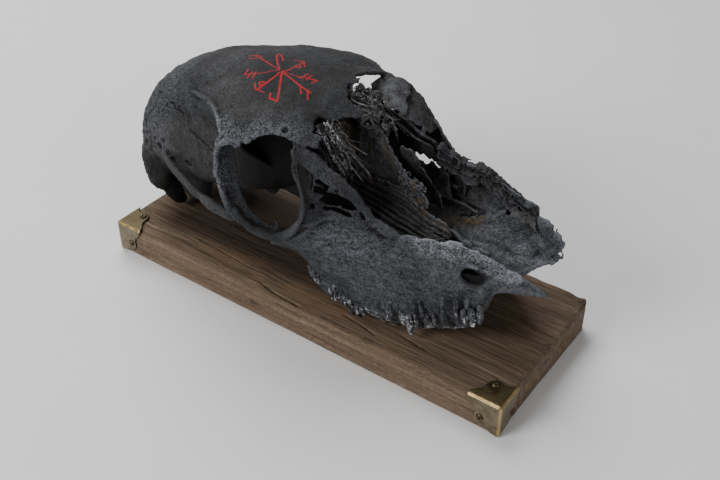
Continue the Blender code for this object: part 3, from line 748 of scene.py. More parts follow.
def farFace():
    rows = [(0, (80, 104), (68, 140), (60, 160), (54, 178)), (15, (72, 112), (64, 140), (58, 160), (54, 177)),
            (30, (62, 124), (60, 138), (57, 155), (54, 172)), (45, (55, 122), (55, 133), (54, 146), (52, 158)),
            (60, (48, 112), (50, 124), (50, 136), (47, 148)), (71, (45, 100), (47, 113), (46, 126), (45, 138)),
            (85, (42, 96), (44, 110), (43, 122), (40, 133)), (107, (40, 96), (42, 110), (41, 124), (38, 134)),
            (130, (39, 98), (41, 108), (39, 119), (35, 127)), (153, (37, 104), (38, 110), (37, 116), (34, 121))]
    grid = sided(gridThrough(rowsAlong(rows), 150, 60), far)
    return [plate(grid, 2.4, ragged(grid, ["end", "high"], 3.4, 4.0, 31))]


def farNasal():  # the far nose bone: a short layer torn off over a longer, lower one
    rows = [(-2, (56, 178), (48, 178), (38, 178), (32, 176)), (4, (56, 178), (48, 177), (38, 174), (30, 170)),
            (16, (55, 177), (44, 177), (32, 174), (22, 170)), (30, (54, 172), (44, 173), (32, 172), (22, 168)),
            (42, (53, 160), (44, 163), (34, 163), (28, 160)), (52, (51, 147), (45, 150), (40, 150), (36, 149))]
    grid = sided(gridThrough(rowsAlong(rows), 110, 70), far)
    grid = moved(grid, 1.1 * roughNoise(grid.reshape(-1, 3), 8.0, 3, 44), (0, 0.5, 0.9))
    middles = cellMiddles(grid)
    noise = roughNoise(middles.reshape(-1, 3), 5.0, 3, 42).reshape(middles.shape[:2])
    step = middles[..., 0] + 0.35 * (middles[..., 1] - 50)
    first = ragged(grid, ["high"], 4.5, 4.0, 41) & (step < 31 + 3.2 * noise)
    second = ragged(grid, ["end", "high"], 5.0, 4.5, 43) & (step > 24)
    return [plate(grid, 2.4, first), plate(grid + np.array([0.5, 1.0, -3.4]), 2.2, second)]


def eyeSocketWall(side):
    rows = [(174, (-34, 26), (-14, 42), (4, 54)), (150, (-32, 28), (-10, 44), (11, 60)),  # z, then x and half-width
            (122, (-30, 27), (-8, 46), (14, 66)), (98, (-26, 24), (-6, 42), (8, 64)),
            (84, (-20, 24), (-2, 38), (8, 48))]
    if side == far:
        rows[:2] = [(146, (-32, 28), (-10, 44), (12, 62)), (136, (-31, 27), (-9, 45), (13, 64))]
    grid = sided(gridThrough([[(x, half, z) for x, half in spots] for z, *spots in rows], 70, 50), side)
    keep = ragged(grid, ["start"] if side == far else [], 4.0, 6.0, 51)
    if side == near:
        middles = cellMiddles(grid)
        keep &= (middles[..., 2] > 122) | (middles[..., 0] < -14)
    return [plate(grid, skullLook["thin"], keep)]


def nearStrut():  # the narrow bar of bone that runs down from the forehead before the near eye
    upper = [(-8, 60, 175), (5, 61, 171), (16, 58, 163), (25, 56, 157), (34, 53, 149), (45, 50, 140), (52, 47, 129),
             (59, 44, 119), (72, 42, 113), (80, 40, 106)]
    lower = [(2, 66, 158), (8, 65, 155), (17, 64, 151), (28, 60, 144), (37, 56, 136), (42, 53, 132), (47, 50, 125),
             (54, 47, 117), (64, 46, 108), (74, 45, 101)]
    grid = gridThrough([sideLine(near, upper), sideLine(near, lower)], 16, 110)
    return [plate(grid, 2.8, ragged(grid, ["start"], 1.5, 5.0, 61))]


def toothBearer(side):  # the solid bar over the tooth row, its ends drawn together
    sections = [(4, 50, 54, 82, 36), (14, 53, 44, 84, 33), (30, 56, 40, 84, 32), (60, 61, 37, 86, 34),
                (90, 58, 37, 87, 31), (120, 47, 44, 88, 25), (140, 40, 52, 89, 20), (148, 36, 58, 90, 18),
                (153, 33, 75, 92, 18)]
    rings = spline([ring(*section, count=48) for section in sections], 110)[:, :-1]
    middles = rings.mean(axis=1, keepdims=True)
    closing = middles + (rings - middles) * 0.01
    grid = sided(np.concatenate([closing[:1], rings, closing[-1:]]), side)
    return [(grid.reshape(-1, 3), tubeFaces(len(grid), 48))]


def palate():
    rows = [(-4, 34, 34, 78), (30, 50, 50, 80), (60, 52, 52, 83), (90, 48, 48, 85), (120, 40, 40, 86),
            (145, 34, 34, 88), (160, 26, 31, 89), (172, -8, 28, 90), (180, -14, 25, 91)]
    grid = gridThrough([[(x, skullMiddle + half, z + 0.004 * half ** 2) for half in np.linspace(-nearHalf, farHalf, 7)]
                        for x, nearHalf, farHalf, z in rows], 160, 80)
    return [plate(grid, skullLook["thin"], ragged(grid, ["end"], 5.0, 5.0, 71))]


def innerSheets():
    # Thin walls inside the far half of the nose, the broad plate its floor rises into at the front, and its far lip.
    upper = [[(10, 38, 165), (24, 38, 163), (36, 40, 156), (47, 41, 150), (58, 44, 143)],
             [(8, 44, 145), (22, 45, 146), (35, 45, 143), (47, 47, 141), (59, 48, 137)],
             [(12, 46, 126), (24, 46, 128), (36, 46, 130), (48, 46, 133), (60, 47, 132)]]
    lower = [[(18, 48, 116), (34, 48, 122), (46, 48, 121), (56, 48, 122), (72, 48, 118)],
             [(16, 46, 108), (34, 46, 110), (46, 46, 109), (58, 47, 110), (74, 46, 108)],
             [(14, 40, 96), (34, 42, 96), (48, 43, 95), (60, 43, 96), (78, 42, 96)]]
    front = [[(92, 12, 88), (92, 22, 88), (92, 32, 88), (92, 38, 90)],
             [(108, 10, 87), (108, 22, 88), (108, 34, 91), (108, 42, 97)],
             [(125, 8, 87), (125, 22, 89), (125, 36, 97), (125, 45, 105)],
             [(142, 6, 88), (142, 20, 90), (142, 34, 99), (142, 43, 112)],
             [(156, 5, 89), (156, 20, 92), (156, 33, 102), (156, 40, 115)],
             [(168, 12, 90), (168, 24, 94), (168, 33, 104), (168, 37, 115)],
             [(178, 24, 91), (178, 29, 96), (178, 32, 104), (178, 33, 111)],
             [(184, 28, 92), (184, 30, 96), (184, 31, 100), (184, 32, 104)]]
    made = []
    for rows, torn, seed in ((upper, "end", 301), (lower, "start", 302)):
        grid = gridThrough(rows, 60, 100)
        grid = moved(grid, 1.6 * roughNoise(grid.reshape(-1, 3), 11, 3, seed), (0, 1, 0.4))
        made.append(plate(grid, 2.2, ragged(grid, [torn], 4.0, 5.0, seed)))
    grid = gridThrough(front, 150, 90)
    made.append(plate(grid, 2.4, ragged(grid, ["end", "high"], 5.2, 3.0, 303)))
    lip = np.array([(60, 50, 142), (72, 51, 137), (90, 52, 133), (100, 51, 136), (110, 50, 134), (125, 48, 128),
                    (140, 46, 123), (152, 44, 121)], float)
    lip = spline(lip + (-3, 4, -4), 170)
    lip = lip + np.stack([0 * lip[:, 0], roughNoise(lip, 7, 3, 304), roughNoise(lip, 5, 3, 305)], axis=1)
    grid = lip[:, None] + np.linspace(0, 1, 44)[None, :, None] * np.array([0, 3, -16.0])
    made.append(plate(grid, 2.0, ragged(grid, ["start", "end", "low"], 2.6, 3.0, 306)))
    return made


def vomer():  # the upright sheet along the middle of the nose
    upper = [(-30, 0, 120), (0, 0, 124), (20, 0, 116), (46, 0, 113), (70, 0, 109), (79, 0, 101), (96, 0, 99),
             (117, 0, 92), (132, 0, 90)]
    lower = [(-30, 0, 96), (0, 0, 88), (20, 0, 84), (46, 0, 82), (70, 0, 83), (79, 0, 84), (96, 0, 85), (117, 0, 86),
             (132, 0, 87)]
    grid = gridThrough([sideLine(far, upper), sideLine(far, lower)], 20, 130)
    return [plate(grid, skullLook["thin"], ragged(grid, ["start"], 3.0, 5.0, 81))]


faceUpper = [(-1, 66, 160), (8, 65, 155), (17, 64, 151), (28, 60, 144), (37, 56, 136), (42, 53, 132), (47, 50, 125),
             (54, 47, 117), (64, 46, 108), (74, 45, 101)]
faceLower = [(11, 81, 110), (20, 72, 110), (27, 65, 114), (36, 58, 115), (45, 52, 113), (54, 48, 109), (62, 46, 106),
             (70, 45, 103), (74, 45, 101)]
faceOpenings = [  # in shares of the wall's length and height
    [(0.028, 0.05), (0.105, 0.02), (0.20, 0.04), (0.168, 0.22), (0.125, 0.38), (0.06, 0.50), (0.030, 0.42),
     (0.012, 0.27)],
    [(0.205, 0.11), (0.27, 0.05), (0.335, 0.06), (0.30, 0.26), (0.235, 0.40), (0.145, 0.38), (0.165, 0.26)],
    [(0.36, 0.02), (0.405, 0.01), (0.405, 0.12), (0.36, 0.13)],
    [(0.19, 0.49), (0.265, 0.34), (0.34, 0.21), (0.45, 0.09), (0.55, 0.12), (0.59, 0.35), (0.52, 0.55),
     (0.38, 0.61), (0.28, 0.61), (0.19, 0.57)],
    [(0.22, 0.65), (0.35, 0.66), (0.44, 0.72), (0.52, 0.84), (0.52, 0.97), (0.44, 0.92), (0.36, 0.80), (0.22, 0.73)],
    [(0.635, 0.12), (0.685, 0.26), (0.645, 0.82), (0.60, 0.98), (0.575, 0.80), (0.595, 0.46)],
    [(0.02, 0.47), (0.06, 0.48), (0.06, 0.58), (0.02, 0.59)], [(0.07, 0.56), (0.15, 0.56), (0.14, 0.67), (0.07, 0.67)]]


def faceWall():
    # The thin wall before the near eye: straight lines from the strut to the cheek, bowed by sines of their
    # place, pierced by ragged openings, with a second wall behind it and short rods from one to the other.
    upper = spline(sideLine(near, faceUpper), 210)[:, None]
    lower = spline(sideLine(near, faceLower), 210)[:, None]
    s, t = np.meshgrid(np.linspace(0, 1, 210), np.linspace(0, 1, 120), indexing="ij")
    sunk = (np.sin(math.pi * t) * np.sin(math.pi * np.clip(s * 1.4, 0, 1)))[..., None]
    bow = (np.sin(math.pi * t) * (1 - s) ** 4)[..., None] * np.array([8.0, -3.0, 1.0])
    grid = upper * (1 - t[..., None]) + lower * t[..., None] + bow + sunk * np.array([-1.0, 3.4, -2.0])
    middles = cellMiddles(np.stack([s, t, 0 * s], axis=2)).reshape(-1, 3)
    spots = cellMiddles(grid).reshape(-1, 3)
    shift = 0.007 * roughNoise(spots, 3.0, 3, 15), 0.02 * roughNoise(spots, 3.0, 3, 16)
    pierced = np.zeros(len(middles), bool)
    for outline in faceOpenings:
        pierced |= insideOutline(middles[:, 0] + shift[0], middles[:, 1] + shift[1], outline)
    front = plate(grid, 2.2, ~pierced.reshape(209, 119))
    behind = grid + np.array([-2.5, 8.5, -4.5]) + sunk * np.array([-2.0, 5.0, -3.0])
    slot = insideOutline(middles[:, 0], middles[:, 1], faceOpenings[5])  # this one goes through both walls
    keep = (middles[:, 0] < 0.60 + shift[0] * 4) & (middles[:, 0] > 0.05) & ~slot
    back = plate(behind, 2.2, keep.reshape(209, 119))
    links = [rod([grid[i, j], grid[i, j] * 0.5 + behind[k, m] * 0.5 + (0, 0, 1), behind[k, m]], (1.2, 0.8, 1.4))
             for i, j, k, m in ((40, 26, 52, 44), (76, 70, 84, 80), (44, 88, 56, 80), (34, 60, 42, 80))]
    return [front, back] + links


def throatWall(side):
    upper = [(-82, 22, 96), (-60, 22, 102), (-30, 24, 102), (4, 28, 96)]
    lower = [(-76, 20, 84), (-62, 21, 79), (-48, 22, 90), (-4, 28, 88)]
    grid = gridThrough([sideLine(side, upper), sideLine(side, lower)], 24, 70)
    return [plate(grid, 3.6, ragged(grid, ["start", "high"], 3.0, 6.0, 91))]


def earRegion(side):  # the ear's bulb, the joint beside the neck hole, and the spur that reaches the board
    path = [(-174, 44, 84), (-172, 40, 66), (-169, 35, 48), (-165, 31, 36)]
    return [egg(atSide(side, -138, 36, 68), (15, 11, 15)), egg(atSide(side, -172, 48, 84), (16, 10, 30)),
            egg(atSide(side, -202, 20, 74), (14, 11, 18), lean=-0.3),
            rod(sideLine(side, path), (14, 12, 9, 5.4), sides=24)]


def napeCrest():
    path = [(-165, -51, 98), (-172, -47, 122), (-181, -33, 138), (-187, 0, 144), (-181, 33, 138), (-172, 47, 122),
            (-165, 51, 98)]
    return [rod(sideLine(far, path), (4, 4.5, 4.5, 5, 4.5, 4.5, 4), count=70)]


def skullBones():
    bones = (braincase() + forehead() + farFace() + farNasal() + nearStrut() + faceWall() + palate() + innerSheets()
             + vomer() + napeCrest())
    bones.append(egg(atSide(far, -6, 0, 142), (18, 16, 34)))  # the bone between the eye sockets
    for side in (near, far):
        for bone in (orbitRim, templeWall, cheekArch, jawWall, nerveCanal, toothBearer, throatWall, earRegion,
                     eyeSocketWall):
            bones += bone(side)
    return together(bones)


# Relief and colouring of the bone

def evened(made, values, rounds):  # each corner's values replaced by the mean of its neighbours', some rounds over
    pairs = np.empty(2 * len(made.data.edges), np.int32)
    made.data.edges.foreach_get("vertices", pairs)
    one, two = pairs.reshape(-1, 2).T
    count = np.bincount(one, minlength=len(values)) + np.bincount(two, minlength=len(values)) + 1e-9
    for _ in range(rounds):
        total = np.stack([np.bincount(one, column[two], len(values)) + np.bincount(two, column[one], len(values))
                          for column in values.T], axis=1)
        values = total / count[:, None]
    return values


def ridgeShare(made, rounds, depth):  # 0.5 on the flat, nearer 1 on what stands proud and 0 in hollows
    points = places(made)
    proud = ((points - evened(made, points, rounds)) * outward(made)).sum(axis=1)
    return np.clip(0.5 + 0.5 * proud / depth, 0, 1)


# Lines that the relief and the colours follow; those of one side are given for the near half.
templeLine = [(-124, -34, 166), (-108, -42, 170), (-93, -50, 175), (-80, -56, 175), (-66, -66, 172), (-59, -75, 166),
              (-60, -78, 150), (-61, -79, 132)]
sutureLine = [(-150, -45, 144), (-143, -42, 153), (-134, -45, 152), (-125, -46, 152), (-112, -50, 139),
              (-98, -50, 134), (-92, -49, 127), (-84, -46, 118)]
browLine = [(-64, -68, 170), (-52, -75, 168), (-36, -71, 171), (-20, -61, 173), (-8, -57, 173)]
barLine = [(-58, -76, 164), (-61, -79, 148), (-61, -80, 130), (-56, -81, 114)]
cheekCracks = [[(34, -59, 96), (40, -57, 93), (45, -55, 94.5), (50, -52, 93.5), (57, -50, 97), (63, -47, 96)],
               [(45, -54, 95), (48, -51, 99), (47, -51, 103)]]
nerveGroove = [(149, -29, 97), (156, -27, 99), (164, -25, 98)]
silverRims = [([(94, -51, 45), (103, -50, 46), (113, -49, 51), (120, -47, 57)], 1.5, 4.0),
              ([(136, -43, 63), (143, -41, 67), (152, -37, 74)], 2.0, 5.0)]
farFlakeLine = [(60, 50, 142), (90, 50, 133), (110, 48, 134), (152, 42, 121)]
dustyLine = [(98, -30, 108), (133, -26, 112), (150, -24, 108), (166, -20, 103)]
ochreLine = [(88, 30, 92), (99, 33, 93), (107, 36, 95)]
rootRidges = [(84, -56, 56, 3.4), (106, -50, 61, 2.6), (112, -47, 62, 2.4), (124, -42, 68, 2.4), (133, -39, 70, 2.4),
              (70, -58, 54, 2.6), (50, -58, 52, 2.6), (141, -34, 70, 2.2)]  # place and half-width of each swelling
smallHoles = [((-133, -52, 103), 3.2, 2.4), ((-123, -49, 105), 4.0, 3.2), ((-11, -54, 178), 3.0, 3.0),
              ((-156, -49, 110), 4.5, 1.6), ((-150, -50, 118), 3.0, 1.6), ((-161, -47, 116), 3.0, 1.8)]


def mirroredNear(points):  # every place as it would lie on the near half
    x, y, z = points.T
    half = np.abs(y - skullMiddle)
    return np.stack([x, skullMiddle - half, z], axis=1), half


def zones(points, normals):  # how far each place belongs to the parts that weather alike, and its way to the crest
    x, y, z = points.T
    mirrored, half = mirroredNear(points)
    outwards = -normals[:, 1] * np.sign(skullMiddle - y)
    return {"roof": rise(z - roofHeight(x, half), -16, -7) * rise(normals[:, 2], 0.1, 0.5),
            "brow": fall(lineDistance(mirrored, browLine), 4, 16) * rise(normals[:, 2] + outwards, -0.2, 0.3),
            "bar": fall(lineDistance(mirrored, barLine), 3, 9),
            "rear": fall(x, -150, -122) * rise(z, 96, 118),
            "jaw": rise(x, -2, 20) * fall(z, 108, 128) * rise(outwards, -0.9, 0.1),
            "crest": lineDistance(mirrored, templeLine),
            "edge": fall(z, 50, 64) * rise(x, 10, 20)}


def boneRelief(points, normals):
    # How far each place is pushed out, in millimetres: noise of several sizes, less pits, seams, cracks and holes,
    # plus ridges and swellings, each faded in by the distance to its line or place.
    x, y, z = points.T
    mirrored, half = mirroredNear(points)
    part = zones(points, normals)
    raised = 0.75 * roughNoise(points, 19.0, 2, 5) + (0.34 - 0.14 * part["jaw"]) * roughNoise(points, 5.0, 2, 8)
    fine = softNoise(points, 1.9, 50) + 0.6 * softNoise(points, 1.1, 51)
    raised += fine * (0.11 + 0.12 * part["rear"] + 0.12 * part["brow"] + 0.03 * part["roof"] + 0.05 * part["jaw"])
    pits = fall(pitDistance(points, 2.7, 60), 0.14, 0.44)
    coarse = np.clip(part["brow"] + 0.7 * part["bar"] + 0.4 * part["rear"], 0, 1)
    coarse *= rise(roughNoise(points, 8, 2, 61), -0.9, 0.1)
    raised -= 1.1 * pits * coarse
    raised += 1.9 * fall(part["crest"], 0.3, 2.8) - 1.5 * fall(x, -172, -150) * np.abs(roughNoise(points, 7.0, 3, 62))
    wobble = mirrored + np.stack([1.6 * softNoise(points, 3.5, 70), 0 * x, 1.6 * softNoise(points, 3.5, 71)], axis=1)
    seam = lineDistance(wobble, sutureLine)
    raised += 0.6 * fall(seam, 1.0, 3.0) - 2.2 * fall(seam, 0.2, 1.6)
    middleSeam = np.abs(y - skullMiddle + 1.8 * softNoise(points, 4.0, 72)) + 99 * (z < roofHeight(x, half) - 12)
    raised -= 0.22 * fall(middleSeam, 0.2, 0.9) * fall(x, -40, -20)
    for place, radius, depth in smallHoles:
        span = np.linalg.norm(mirrored - place, axis=1) / radius
        raised += 0.4 * fall(span, 1.15, 1.7) * rise(span, 0.8, 1.15) - depth * fall(span, 0.45, 1.05)
    wobble = points + np.stack([0 * x, 0 * x, 0.7 * softNoise(points, 2.6, 73)], axis=1)
    for crack in cheekCracks:
        raised -= 0.8 * fall(lineDistance(wobble, crack), 0.2, 1.0)
    bent = mirrored + 0.5 * softNoise(points, 3.0, 75)[:, None] * (1, 1, 0)
    strength = 1.25 + 0.5 * softNoise(points, 4, 74)
    for rootX, rootY, rootZ, width in rootRidges:
        span = lineDistance(bent, [(rootX, rootY, rootZ - 9), (rootX - 1, rootY - 1, rootZ + 5)])
        raised += strength * fall(span, 0.3 * width, 1.1 * width)
    flutes = softNoise(points / np.array([2.1, 6.0, 9.0]), 1.0, 81)
    raised += part["edge"] * (0.28 * flutes + 0.55 * roughNoise(points, 3.4, 3, 80) - 0.2)
    raised += 0.24 * part["jaw"] * softNoise(points / np.array([7.0, 3.0, 1.5]), 1.0, 90)
    return raised - 1.6 * fall(lineDistance(mirrored, nerveGroove), 1.0, 5.5)


def boneMasks(points, normals):
    # Shares of dust, brown, ochre, silver, painted shade (with the real dark suture) and streaks on each place:
    # products of slopes along the axes, of the way the surface faces and of distances to lines, added up and held from
    # 0 to 1.
    x, y, z = points.T
    mirrored, half = mirroredNear(points)
    part = zones(points, normals)
    below = roofHeight(x, half) - z

    def pastWall(across):  # 0 before the thin wall that stands before the eye, 1 behind it
        return rise(across + 129.8 - 0.636 * x - 0.4527 * z, 5.5, 9.0)

    temple = fall(x, -75, -62) * rise(below, 12, 24)
    nose = rise(x, -20, 0) * fall(half, 26, 34) * fall(z, 160, 172) * rise(z, 72, 80) * fall(x, 84, 120)
    farWall = rise(x, -10, 10) * rise(y, 12, 30) * fall(normals[:, 1], -0.4, 0.1) * fall(x, 96, 130)
    nosePlate = rise(x, 96, 118) * rise(y, 2, 10) * rise(z, 80, 84)
    # under the rear of the skull: painted shade and less dust where shade falls under it
    low = fall(x, -130, -112) * fall(z, 84, 104)
    # round the painted stave the forehead faces the lamps; it gets painted shade and less dust there
    stave = fall(eggDistance(points, (-44, -6, 184), (62, 52, 40)), 0.3, 1.0)

    # Painted shade: the eye socket (socket), the nerve's canal (tunnel), the deep nose (deep), the space behind the
    # thin wall before the eye (behind) and the inside of the orbit (inside) are darkened towards black where shade
    # falls.
    socket = rise(x, -60, -50) * fall(x, -4, 4) * rise(below, 10, 16) * fall(half, 61, 66)
    tunnel = fall(eggDistance(points, (139, -23, 93), (12.5, 13.5, 8.5)), 0.75, 1.0)
    deep = fall(eggDistance(points, (14, -14, 148), (24, 20, 22)), 0.5, 1.0)
    behind = (pastWall(y) * fall(y, -34, -26) * rise(x, -8, 0) * fall(x, 36, 46)
              * rise(z, 94, 104) * fall(normals[:, 1], -0.2, 0.4))
    before = rise(x, -10, 0) * (1 - pastWall(mirrored[:, 1])) * fall(x, 60, 80)
    inside = rise(x, -88, -50) * fall(x, 40, 70) * rise(below, 10, 16) * fall(half, 53, 60)
    inside = inside * (1 - before) * (1 - 0.6 * rise(y, 26, 38) * rise(x, -4, 12))
    wobble = mirrored + 1.2 * softNoise(points, 3.5, 70)[:, None] * (1, 0, 1)
    seam = 0.7 * fall(lineDistance(wobble, sutureLine), 0.4, 1.5)
    # painted shade in patches on the far inner wall of the nose
    farWallShade = 0.12 * farWall * rise(roughNoise(points, 12, 3, 94), -0.3, 0.9)
    # the shade share: painted shade from the masks above, plus the real dark line of the suture (seam)
    shade = np.clip(seam + 0.22 * stave + inside + socket + deep + 0.8 * behind + 0.55 * low + farWallShade + tunnel, 0, 1)

    flakes = fall(lineDistance(points, farFlakeLine), 7, 13)
    front = fall(eggDistance(points, (48, -58, 98), (44, 30, 17)), 0.3, 1.1)
    dust = (0.23 + 0.06 * part["roof"] - 0.16 * stave + 0.20 * part["rear"] + 0.42 * part["brow"] + 0.42 * part["bar"]
            + 0.30 * part["jaw"] * (1 - 0.3 * fall(z, 50, 70)) + 0.34 * front + 0.42 * fall(part["crest"], 0.5, 2.6)
            + 0.48 * nosePlate - 0.28 * low - 0.16 * flakes + 0.26 * farWall + 0.12 * roughNoise(points, 26, 3, 95))
    dusty = fall(lineDistance(points, dustyLine), 4, 13)
    dust = np.clip(np.clip(dust, 0, 1) * (1 - 0.92 * shade) + 0.75 * dusty, 0, 1)

    warm = (0.75 * part["roof"] * rise(roughNoise(points, 40, 2, 96), -0.6, 0.6) + 0.6 * temple + 0.9 * nose
            + 0.7 * farWall + 0.6 * inside)
    ochre = (0.6 * nose * rise(roughNoise(points, 14, 2, 97), 0.1, 0.9)
             + 0.95 * fall(lineDistance(points, ochreLine), 3, 8))
    rim = np.maximum(*(fall(lineDistance(points, path), core, reach) for path, core, reach in silverRims))
    jawEdge = fall(z, 46, 56) * rise(x, 60, 90) * rise(roughNoise(points, 6, 2, 98), 0.0, 0.5) * (y < skullMiddle)
    silver = 0.9 * rim * rise(roughNoise(points, 4, 2, 99), -0.4, 0.2) + 0.9 * jawEdge + 0.2 * dusty
    return {"dust": dust, "warm": np.clip(warm, 0, 1), "ochre": np.clip(ochre, 0, 1), "silver": np.clip(silver, 0, 1),
            "shade": shade, "streak": np.clip(part["jaw"] + nosePlate + farWall, 0, 1)}


points, faces = skullBones()
skullPiece = newMesh("elkSkull", points, faces, boneFinish)
fuse(skullPiece, skullLook["cell"])
print("skull fused", len(skullPiece.data.polygons))
settle(skullPiece, 1)
points, normals = places(skullPiece), outward(skullPiece)
points = points + normals * boneRelief(points, normals)[:, None]
points[:, 0] = np.maximum(points[:, 0], cadBox[0][0] / mm + 0.15)  # the rear stays inside the CAD box
setPlaces(skullPiece, points)
thin(skullPiece, skullLook["triangles"])
smooth(skullPiece)
spread(skullPiece, "ridge", ridgeShare(skullPiece, 3, 0.55))
for mask, values in boneMasks(places(skullPiece), outward(skullPiece)).items():
    spread(skullPiece, mask, values)
onRoot(skullPiece, "blackened_bone", "skull")
print("skull finished", len(skullPiece.data.polygons))


# Torn, spongy bone and the thin sheets inside the nose

tornLook = {"cell": 0.52, "triangles": 190000}
strandsWay = np.array([0.60, 0.04, -0.80])  # the way the torn strands of the near side hang


def spongySheet(edge, heading, length, seed, holes, curl):
    # A sheet let down from a broken edge: straight lines along a heading, buckled by noise, eaten by holes.
    start = spline(edge, 130)[:, None]
    t = np.linspace(0, 1, 100)[None, :, None]
    grid = start + heading * length * t + np.array([0, 0, -0.25 * length]) * t ** 2
    buckle = noiseThreeWays(grid.reshape(-1, 3), 9.0, (seed, seed + 5, seed + 9)).reshape(grid.shape)
    grid = grid + curl * buckle * np.clip(t * 3, 0.1, 1)
    middles = cellMiddles(grid).reshape(-1, 3)
    drawn = middles - 0.55 * (middles @ heading)[:, None] * heading
    keep = (pitDistance(drawn, 4.4, seed) > holes).reshape(129, 99)
    return plate(grid, 1.5, keep & ragged(grid, ["high", "start", "end"], 7.0, 7.0, seed))


def fibres(edge, heading, count, reach, seed, girth, spreadOut):
    # Splinters that start along a broken edge: straight lines plus a bend that grows with the square of the way.
    chance = np.random.default_rng(seed)
    start = spline(edge, 400)
    made = []
    heading = np.array(heading)
    for _ in range(count):
        spot = start[chance.integers(400)] + chance.normal(0, 1.6, 3) + heading * chance.uniform(-2, 14)
        way = heading + chance.normal(0, spreadOut, 3)
        way /= np.linalg.norm(way)
        bend = chance.normal(0, 0.22, 3)
        span = chance.uniform(*reach)
        path = [spot + way * span * t + bend * span * t * t for t in np.linspace(0, 1, 5)]
        thick = chance.uniform(*girth)
        radii = (thick * 0.8, thick, thick * 0.85, 0.3)
        made.append(rod(path, radii, sides=7, flat=chance.uniform(0.5, 1.6), count=12))
    return made


def curls(centre, spreadOut, count, seed, radius=(1.6, 4.2), girth=0.42):
    # Small open loops of thin bone strewn about a place: arcs of ellipses in random planes.
    chance = np.random.default_rng(seed)
    made = []
    for _ in range(count):
        middle = np.asarray(centre, float) + chance.normal(0, 1, 3) * spreadOut
        one, two = np.linalg.qr(chance.normal(0, 1, (3, 2)))[0].T
        size, first = chance.uniform(*radius), chance.uniform(0, 6.28)
        turn = first + np.linspace(0, chance.uniform(2.4, 5.6), 14)
        path = middle + size * (np.cos(turn)[:, None] * one * chance.uniform(1, 1.7) + np.sin(turn)[:, None] * two)
        made.append(rod(path, (girth, girth * 1.2, girth), sides=6, count=22))
    return made


def uprightSheet(outline, y, wall, seed, lean=0.0, holes=0.0, cell=5.0, wave=1.2):
    # A sheet near one lengthwise plane, cut to an outline given in x and z: leaned with its height, waved by noise.
    outline = np.asarray(outline, float)
    low, high = outline.min(axis=0), outline.max(axis=0)
    x, z = np.meshgrid(np.linspace(low[0], high[0], 130), np.linspace(low[1], high[1], 110), indexing="ij")
    flat = np.stack([x, 0 * x + y, z], axis=2)
    grid = moved(flat, lean * (z.ravel() - low[1]) + wave * roughNoise(flat.reshape(-1, 3), 14, 3, seed), (0, 1, 0))
    middles = cellMiddles(flat).reshape(-1, 3)
    jitter = 1.1 * roughNoise(middles, 4.0, 3, seed + 1), 1.1 * roughNoise(middles, 4.0, 3, seed + 2)
    keep = insideOutline(middles[:, 0] + jitter[0], middles[:, 2] + jitter[1], outline)
    if holes:
        keep &= pitDistance(middles, cell, seed + 3) > holes
    return plate(grid, wall, keep.reshape(129, 109))


def floorSlope():
    # The slope beside the vomer, with ridges lying along it: bell curves round the whole numbers of a bent phase.
    rows = [[(8, 8, 116), (36, 8, 117), (56, 8, 115), (76, 8, 104), (98, 8, 98)],
            [(12, -4, 112), (40, -4, 108), (66, -4, 103), (86, -3, 96), (106, -2, 92)],
            [(16, -16, 108), (44, -16, 102), (70, -15, 96), (92, -13, 91), (112, -10, 88)],
            [(20, -30, 102), (48, -30, 94), (76, -27, 90), (98, -22, 88), (116, -18, 86)]]
    grid = gridThrough(rows, 190, 200)
    flat = grid.reshape(-1, 3)
    t = np.repeat(np.linspace(0, 1, 190), 200)
    phase = 8.0 * t + 0.22 * softNoise(flat, 40, 191) + 0.08 * softNoise(flat, 9, 192)
    ridges = np.exp(-((phase - np.round(phase)) / 0.16) ** 2)
    lift = 3.6 * ridges * (0.5 + 0.5 * rise(softNoise(flat, 20, 193), -0.7, 0.3)) + 0.5 * roughNoise(flat, 5.0, 3, 194)
    grid = moved(grid, lift, (0, -0.35, 0.93))
    return plate(grid, 1.6, ragged(grid, ["start", "end", "high"], 3.0, 5.0, 195))


def farBridge():  # torn sheets from the forehead's far break to the far nose bone, over a whole one
    upper = [(23, -4, 173), (15, -3, 178), (8, 0, 181), (3, 6, 183), (1, 13, 184), (2, 20, 184), (0, 27, 184)]
    lower = [(35, 13, 160), (31, 20, 162), (28, 25, 164), (24, 30, 166), (19, 34, 168), (13, 38, 170), (6, 38, 173)]
    made = []
    for drop, curl, holes, wall, seed in (((0, 0, 0), 3.4, 0.40, 1.3, 130), ((-1, 2, -4), 2.8, 0.34, 1.3, 140),
                                          ((-2, 4, -8), 2.2, 0.0, 1.8, 145)):
        grid = gridThrough([upper, lower], 90, 130) + np.array(drop, float)
        buckle = noiseThreeWays(grid.reshape(-1, 3), 7.0, (seed + 1, seed + 4, seed + 7))
        grid = grid + curl * buckle.reshape(grid.shape)
        keep = (pitDistance(cellMiddles(grid).reshape(-1, 3), 5.0, seed) > holes).reshape(grid.shape[0] - 1, -1)
        made.append(plate(grid, wall, keep & ragged(grid, ["start", "end", "low", "high"], 2.0, 4.0, seed)))
    return made


